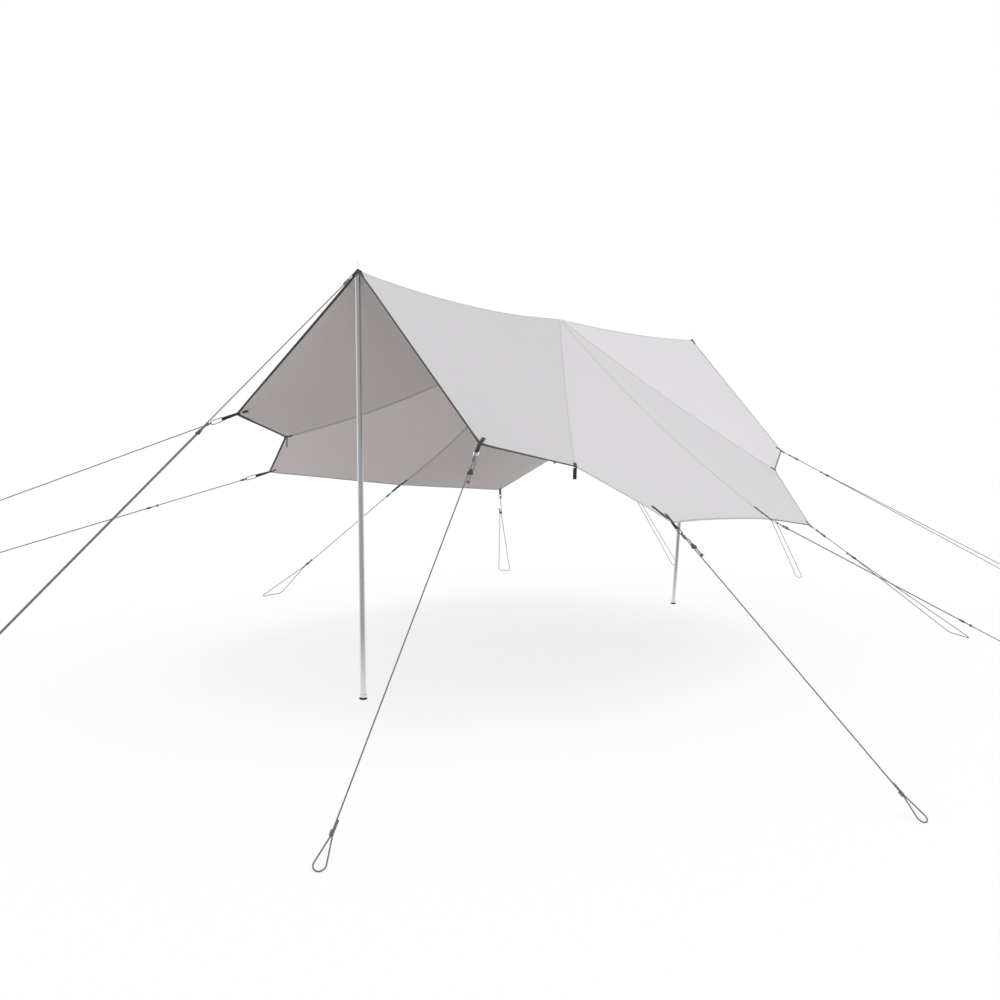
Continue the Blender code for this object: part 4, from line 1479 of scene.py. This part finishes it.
class TARP_OT_tabs(bpy.types.Operator):
    """Make the webbing tabs that hang under the hem's inward corners"""

    bl_idname = "tarp.tabs"
    bl_label = "Hanging Tabs"

    def execute(self, context):
        settings = context.scene.tarp_rigging
        look = material("woven webbing", webbing_look, settings.webbing_colour)
        for side in SIDES:
            for number in "25":
                name = f"{side}_{number}"
                place = self.tab_place(side, int(number))
                bottom = TAB_FOLD - TAB_LENGTH
                down = [(TAB_FOLD, TAB_TOP + (bottom - TAB_TOP) * k / 8) for k in range(8)]
                fold = down + arc(0.0, bottom, TAB_FOLD, 0, -180, 6)
                fold += [(-across, along) for across, along in reversed(down)]
                level = place.col[0].xyz
                middles = [place @ Vector((0.0, y, z)) for z, y in fold]
                rows = [strap_row(middle, level, TAB_WIDTH / 2) for middle in middles]
                tab = strip_piece(
                    f"{name}_webbing_tab",
                    [rows],
                    [look],
                    "webbing",
                    TAB_THICKNESS,
                    TAB_BARE,
                    body=f"{name}_hanging_tab",
                )
                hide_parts(f"{name}_tab")
                self.add_patch(name, look)
        return {"FINISHED"}

    def add_patch(self, name, look):
        """The tab's upper end, sewn on both sides of the seam and folded round the hem."""
        seam = POINTS[name] - POINTS["crown"]
        heading = seam.normalized()
        steps = range(STRAP_STEPS + 1)
        shares = [1.0 - TAB_PATCH * (1.0 - k / STRAP_STEPS) / seam.length for k in steps]
        rows = [seam_row(name, at, TAB_WIDTH / 2, STRAP_LIFT) for at in shares]
        under = [seam_row(name, at, TAB_WIDTH / 2, -STRAP_LIFT) for at in shares]
        edges = list(zip(rows[-1], under[-1]))
        for turn in (60, 30, 0, -30, -60):
            out = heading * (STRAP_LIFT * math.cos(math.radians(turn)))
            rise = math.sin(math.radians(turn))
            rows.append([(a + b) / 2 + out + (a - b) / 2 * rise for a, b in edges])
        rows += under[::-1]
        strip_piece(
            f"{name}_tab_patch", [rows], [look], "webbing", TAB_THICKNESS, PATCH_BARE
        )

    def tab_place(self, side, number):
        """The frame of a tab's hinge, under the seam's outer end: X level along the hem, Y up."""
        name = f"{side}_{number}"
        level = POINTS[f"{side}_{number + 1}"] - POINTS[f"{side}_{number - 1}"]
        level.z = 0.0
        level.normalize()
        panel = next(p for p in PANELS.values() if name in (p.names[0], p.names[2]))
        if panel.names[0] == name:
            place = panel.point(1.0 - panel.step_u(0.0, TAB_IN), 0.0)
        else:
            place = panel.point(0.0, 1.0 - panel.step_v(0.0, TAB_IN))
        return frame_of(place - UP * TAB_DROP, level, UP, level.cross(UP))


# Poles


def turned(work, profile, steps, place, closed=False):
    """A profile of radii and heights turned about the vertical through a place."""
    verts = [work.verts.new((x, 0.0, z)) for x, z in profile]
    pairs = list(zip(verts, verts[1:])) + ([(verts[-1], verts[0])] if closed else [])
    edges = [work.edges.new(pair) for pair in pairs]
    bmesh.ops.spin(
        work,
        geom=verts + edges,
        cent=(0.0, 0.0, 0.0),
        axis=UP,
        angle=2 * math.pi,
        steps=steps,
    )
    bmesh.ops.remove_doubles(work, verts=work.verts, dist=0.00002)
    bmesh.ops.recalc_face_normals(work, faces=work.faces)
    lay = work.verts.layers.float_vector["lay"]
    # lay holds how squarely each point faces the sides of the painted reflection, and its height
    for vert in work.verts:
        out = place.to_3x3() @ Vector((vert.co.x, vert.co.y, 0.0)).normalized()
        vert[lay] = (out.dot(PAINTED_REFLECTION_SIDE), vert.co.z, 0.0)
    bmesh.ops.transform(work, matrix=place, verts=work.verts)


class TARP_OT_poles(bpy.types.Operator):
    """Make the two poles: rubber foot, two tubes with a swaged joint, and a pin"""

    bl_idname = "tarp.poles"
    bl_label = "Poles"

    def execute(self, context):
        settings = context.scene.tarp_poles
        tube_look = material(
            "aluminium",
            metal_look,
            settings.tube_colour,
            settings.tube_roughness,
            0.02,
            PAINTED_REFLECTION_SHADE,
        )
        steel = material("pin steel", metal_look, PIN_STEEL, 0.28, 0.2)
        rubber = material("foot rubber", moulded_look, FOOT_RUBBER, 0.62)
        for end, foot in POLE_FEET.items():
            ground = Vector((*foot, 0.0))
            upward = (POINTS[f"{end}_peak"] - ground).normalized()
            lean = upward.to_track_quat("Z", "Y").to_matrix().to_4x4()
            parts = (
                ("foot", FOOT_PROFILE, [rubber, tube_look], SOLE_HEIGHT, "foot_rubber"),
                ("lower_tube", LOWER_PROFILE, [tube_look], NO_CHANGE, "aluminium_tube"),
                ("upper_tube", UPPER_PROFILE, [tube_look], NO_CHANGE, "aluminium_tube"),
                ("pin", PIN_PROFILE, [tube_look, steel], PLUG_HEIGHT, "pin"),
            )
            for part, profile, looks, change, slot in parts:
                work, _ = start_piece()
                turned(work, profile, POLE_STEPS, Matrix.Translation(ground) @ lean)
                if part == "foot":
                    self.trim_sole(work)
                for face in work.faces:
                    face.material_index = int(face.calc_center_median().z > change)
                piece = finish_piece(f"{end}_{part}", work, looks, slot, sharp=30.0)
                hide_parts(f"{end}_pole_{part}")
        return {"FINISHED"}

    def trim_sole(self, work):
        """Cuts a leaning foot level with the ground."""
        parts = work.verts[:] + work.edges[:] + work.faces[:]
        level = {"plane_co": (0.0, 0.0, 0.0), "plane_no": (0.0, 0.0, -1.0)}
        bmesh.ops.bisect_plane(work, geom=parts, clear_outer=True, **level)
        bmesh.ops.holes_fill(work, edges=[e for e in work.edges if e.is_boundary])


class TARP_OT_sliders(bpy.types.Operator):
    """Give the line tensioners their moulded plastic"""

    bl_idname = "tarp.sliders"
    bl_label = "Tensioners"

    def execute(self, context):
        look = material("slider plastic", moulded_look, SLIDER_PLASTIC, 0.42)
        for name in GUYS:
            slider = frame_node(f"{name}_slider")
            slider.data.materials.clear()
            slider.data.materials.append(look)
        return {"FINISHED"}


# Stage


class TARP_OT_stage(bpy.types.Operator):
    """Make the camera, the pale floor, the sky and the lamps"""

    bl_idname = "tarp.stage"
    bl_label = "Stage"

    def execute(self, context):
        settings = context.scene.tarp_stage
        self.add_camera(context)
        work = bmesh.new()
        bmesh.ops.create_grid(work, x_segments=1, y_segments=1, size=FLOOR_HALF_WIDTH)
        look = Look("floor")
        look.finish(base_color=settings.floor_colour, roughness=1.0)
        look.whiten(settings.shadow_fade)
        floor = add_mesh("floor", work, [look.material])
        floor.location.z = -FLOOR_DROP
        self.add_sun(settings.sun_strength)
        self.add_world(context, settings.sky_strength)
        context.scene.view_settings.view_transform = "Standard"
        return {"FINISHED"}

    def add_camera(self, context):
        """A camera that looks level along its yaw, tipped by its pitch and turned by its roll."""
        yaw, pitch, roll = (math.radians(a) for a in (CAMERA_YAW, CAMERA_PITCH, CAMERA_ROLL))
        level = Vector((math.sin(yaw), math.cos(yaw), 0.0))
        ahead = level * math.cos(pitch) + UP * math.sin(pitch)
        right = Vector((math.cos(yaw), -math.sin(yaw), 0.0))
        up = right.cross(ahead)
        turned_right = right * math.cos(roll) + up * math.sin(roll)
        turned_up = up * math.cos(roll) - right * math.sin(roll)
        camera = add_object("camera", bpy.data.cameras.new("camera"))
        camera.data.lens = CAMERA_LENS
        camera.data.sensor_width = SENSOR_WIDTH
        camera.matrix_world = frame_of(CAMERA_PLACE, turned_right, turned_up, -ahead)
        context.scene.camera = camera

    def add_sun(self, strength):
        lamp = bpy.data.lights.new("soft sun", "SUN")
        lamp.energy = strength
        lamp.angle = math.radians(SUN_SPREAD)
        shown = add_object("soft sun", lamp)
        shown.rotation_euler = Vector(SUN_FROM).to_track_quat("Z", "Y").to_euler()

    def add_world(self, context, strength):
        """Even light from all round; the camera, metal and clear things see plain white."""
        world = bpy.data.worlds.new("sky")
        world.use_nodes = True
        nodes = Nodes(world.node_tree)
        nodes.tree.nodes.clear()
        white = (1.0, 1.0, 1.0)
        lit = nodes.add("ShaderNodeBackground", None, {"Color": white, "Strength": strength})
        plain = nodes.add("ShaderNodeBackground", None, {"Color": white})
        inputs = {"Fac": nodes.seen(), 1: lit.outputs[0], 2: plain.outputs[0]}
        mixed = nodes.add("ShaderNodeMixShader", None, inputs)
        nodes.add("ShaderNodeOutputWorld", None, {"Surface": mixed.outputs[0]})
        context.scene.world = world


class TARP_PT_panel(bpy.types.Panel):
    """The tarp's settings and the operators that make it"""

    bl_label = "Camping Tarp"
    bl_idname = "TARP_PT_panel"
    bl_space_type = "VIEW_3D"
    bl_region_type = "UI"
    bl_category = "Tarp"

    def draw(self, context):
        scene = context.scene
        for group in (scene.tarp_cloth, scene.tarp_rigging, scene.tarp_poles, scene.tarp_stage):
            column = self.layout.column()
            for key in group.__annotations__:
                column.prop(group, key)
        for operator in OPERATORS:
            self.layout.operator(operator.bl_idname)


# The stage comes first for its camera, and then the guys
OPERATORS = (
    TARP_OT_stage,
    TARP_OT_guys,
    TARP_OT_canopy,
    TARP_OT_seams,
    TARP_OT_hems,
    TARP_OT_straps,
    TARP_OT_tabs,
    TARP_OT_poles,
    TARP_OT_sliders,
)
GROUPS = {
    "tarp_cloth": TarpClothSettings,
    "tarp_rigging": TarpRiggingSettings,
    "tarp_poles": TarpPoleSettings,
    "tarp_stage": TarpStageSettings,
}


def register():
    for made in (*GROUPS.values(), *OPERATORS, TARP_PT_panel):
        bpy.utils.register_class(made)
    for key, group in GROUPS.items():
        setattr(bpy.types.Scene, key, PointerProperty(type=group))


def unregister():
    for key in GROUPS:
        delattr(bpy.types.Scene, key)
    for made in (TARP_PT_panel, *reversed(OPERATORS), *reversed(GROUPS.values())):
        bpy.utils.unregister_class(made)


def main():
    register()
    for operator in OPERATORS:
        _, action = operator.bl_idname.split(".")
        getattr(bpy.ops.tarp, action)()


if __name__ == "__main__":
    main()
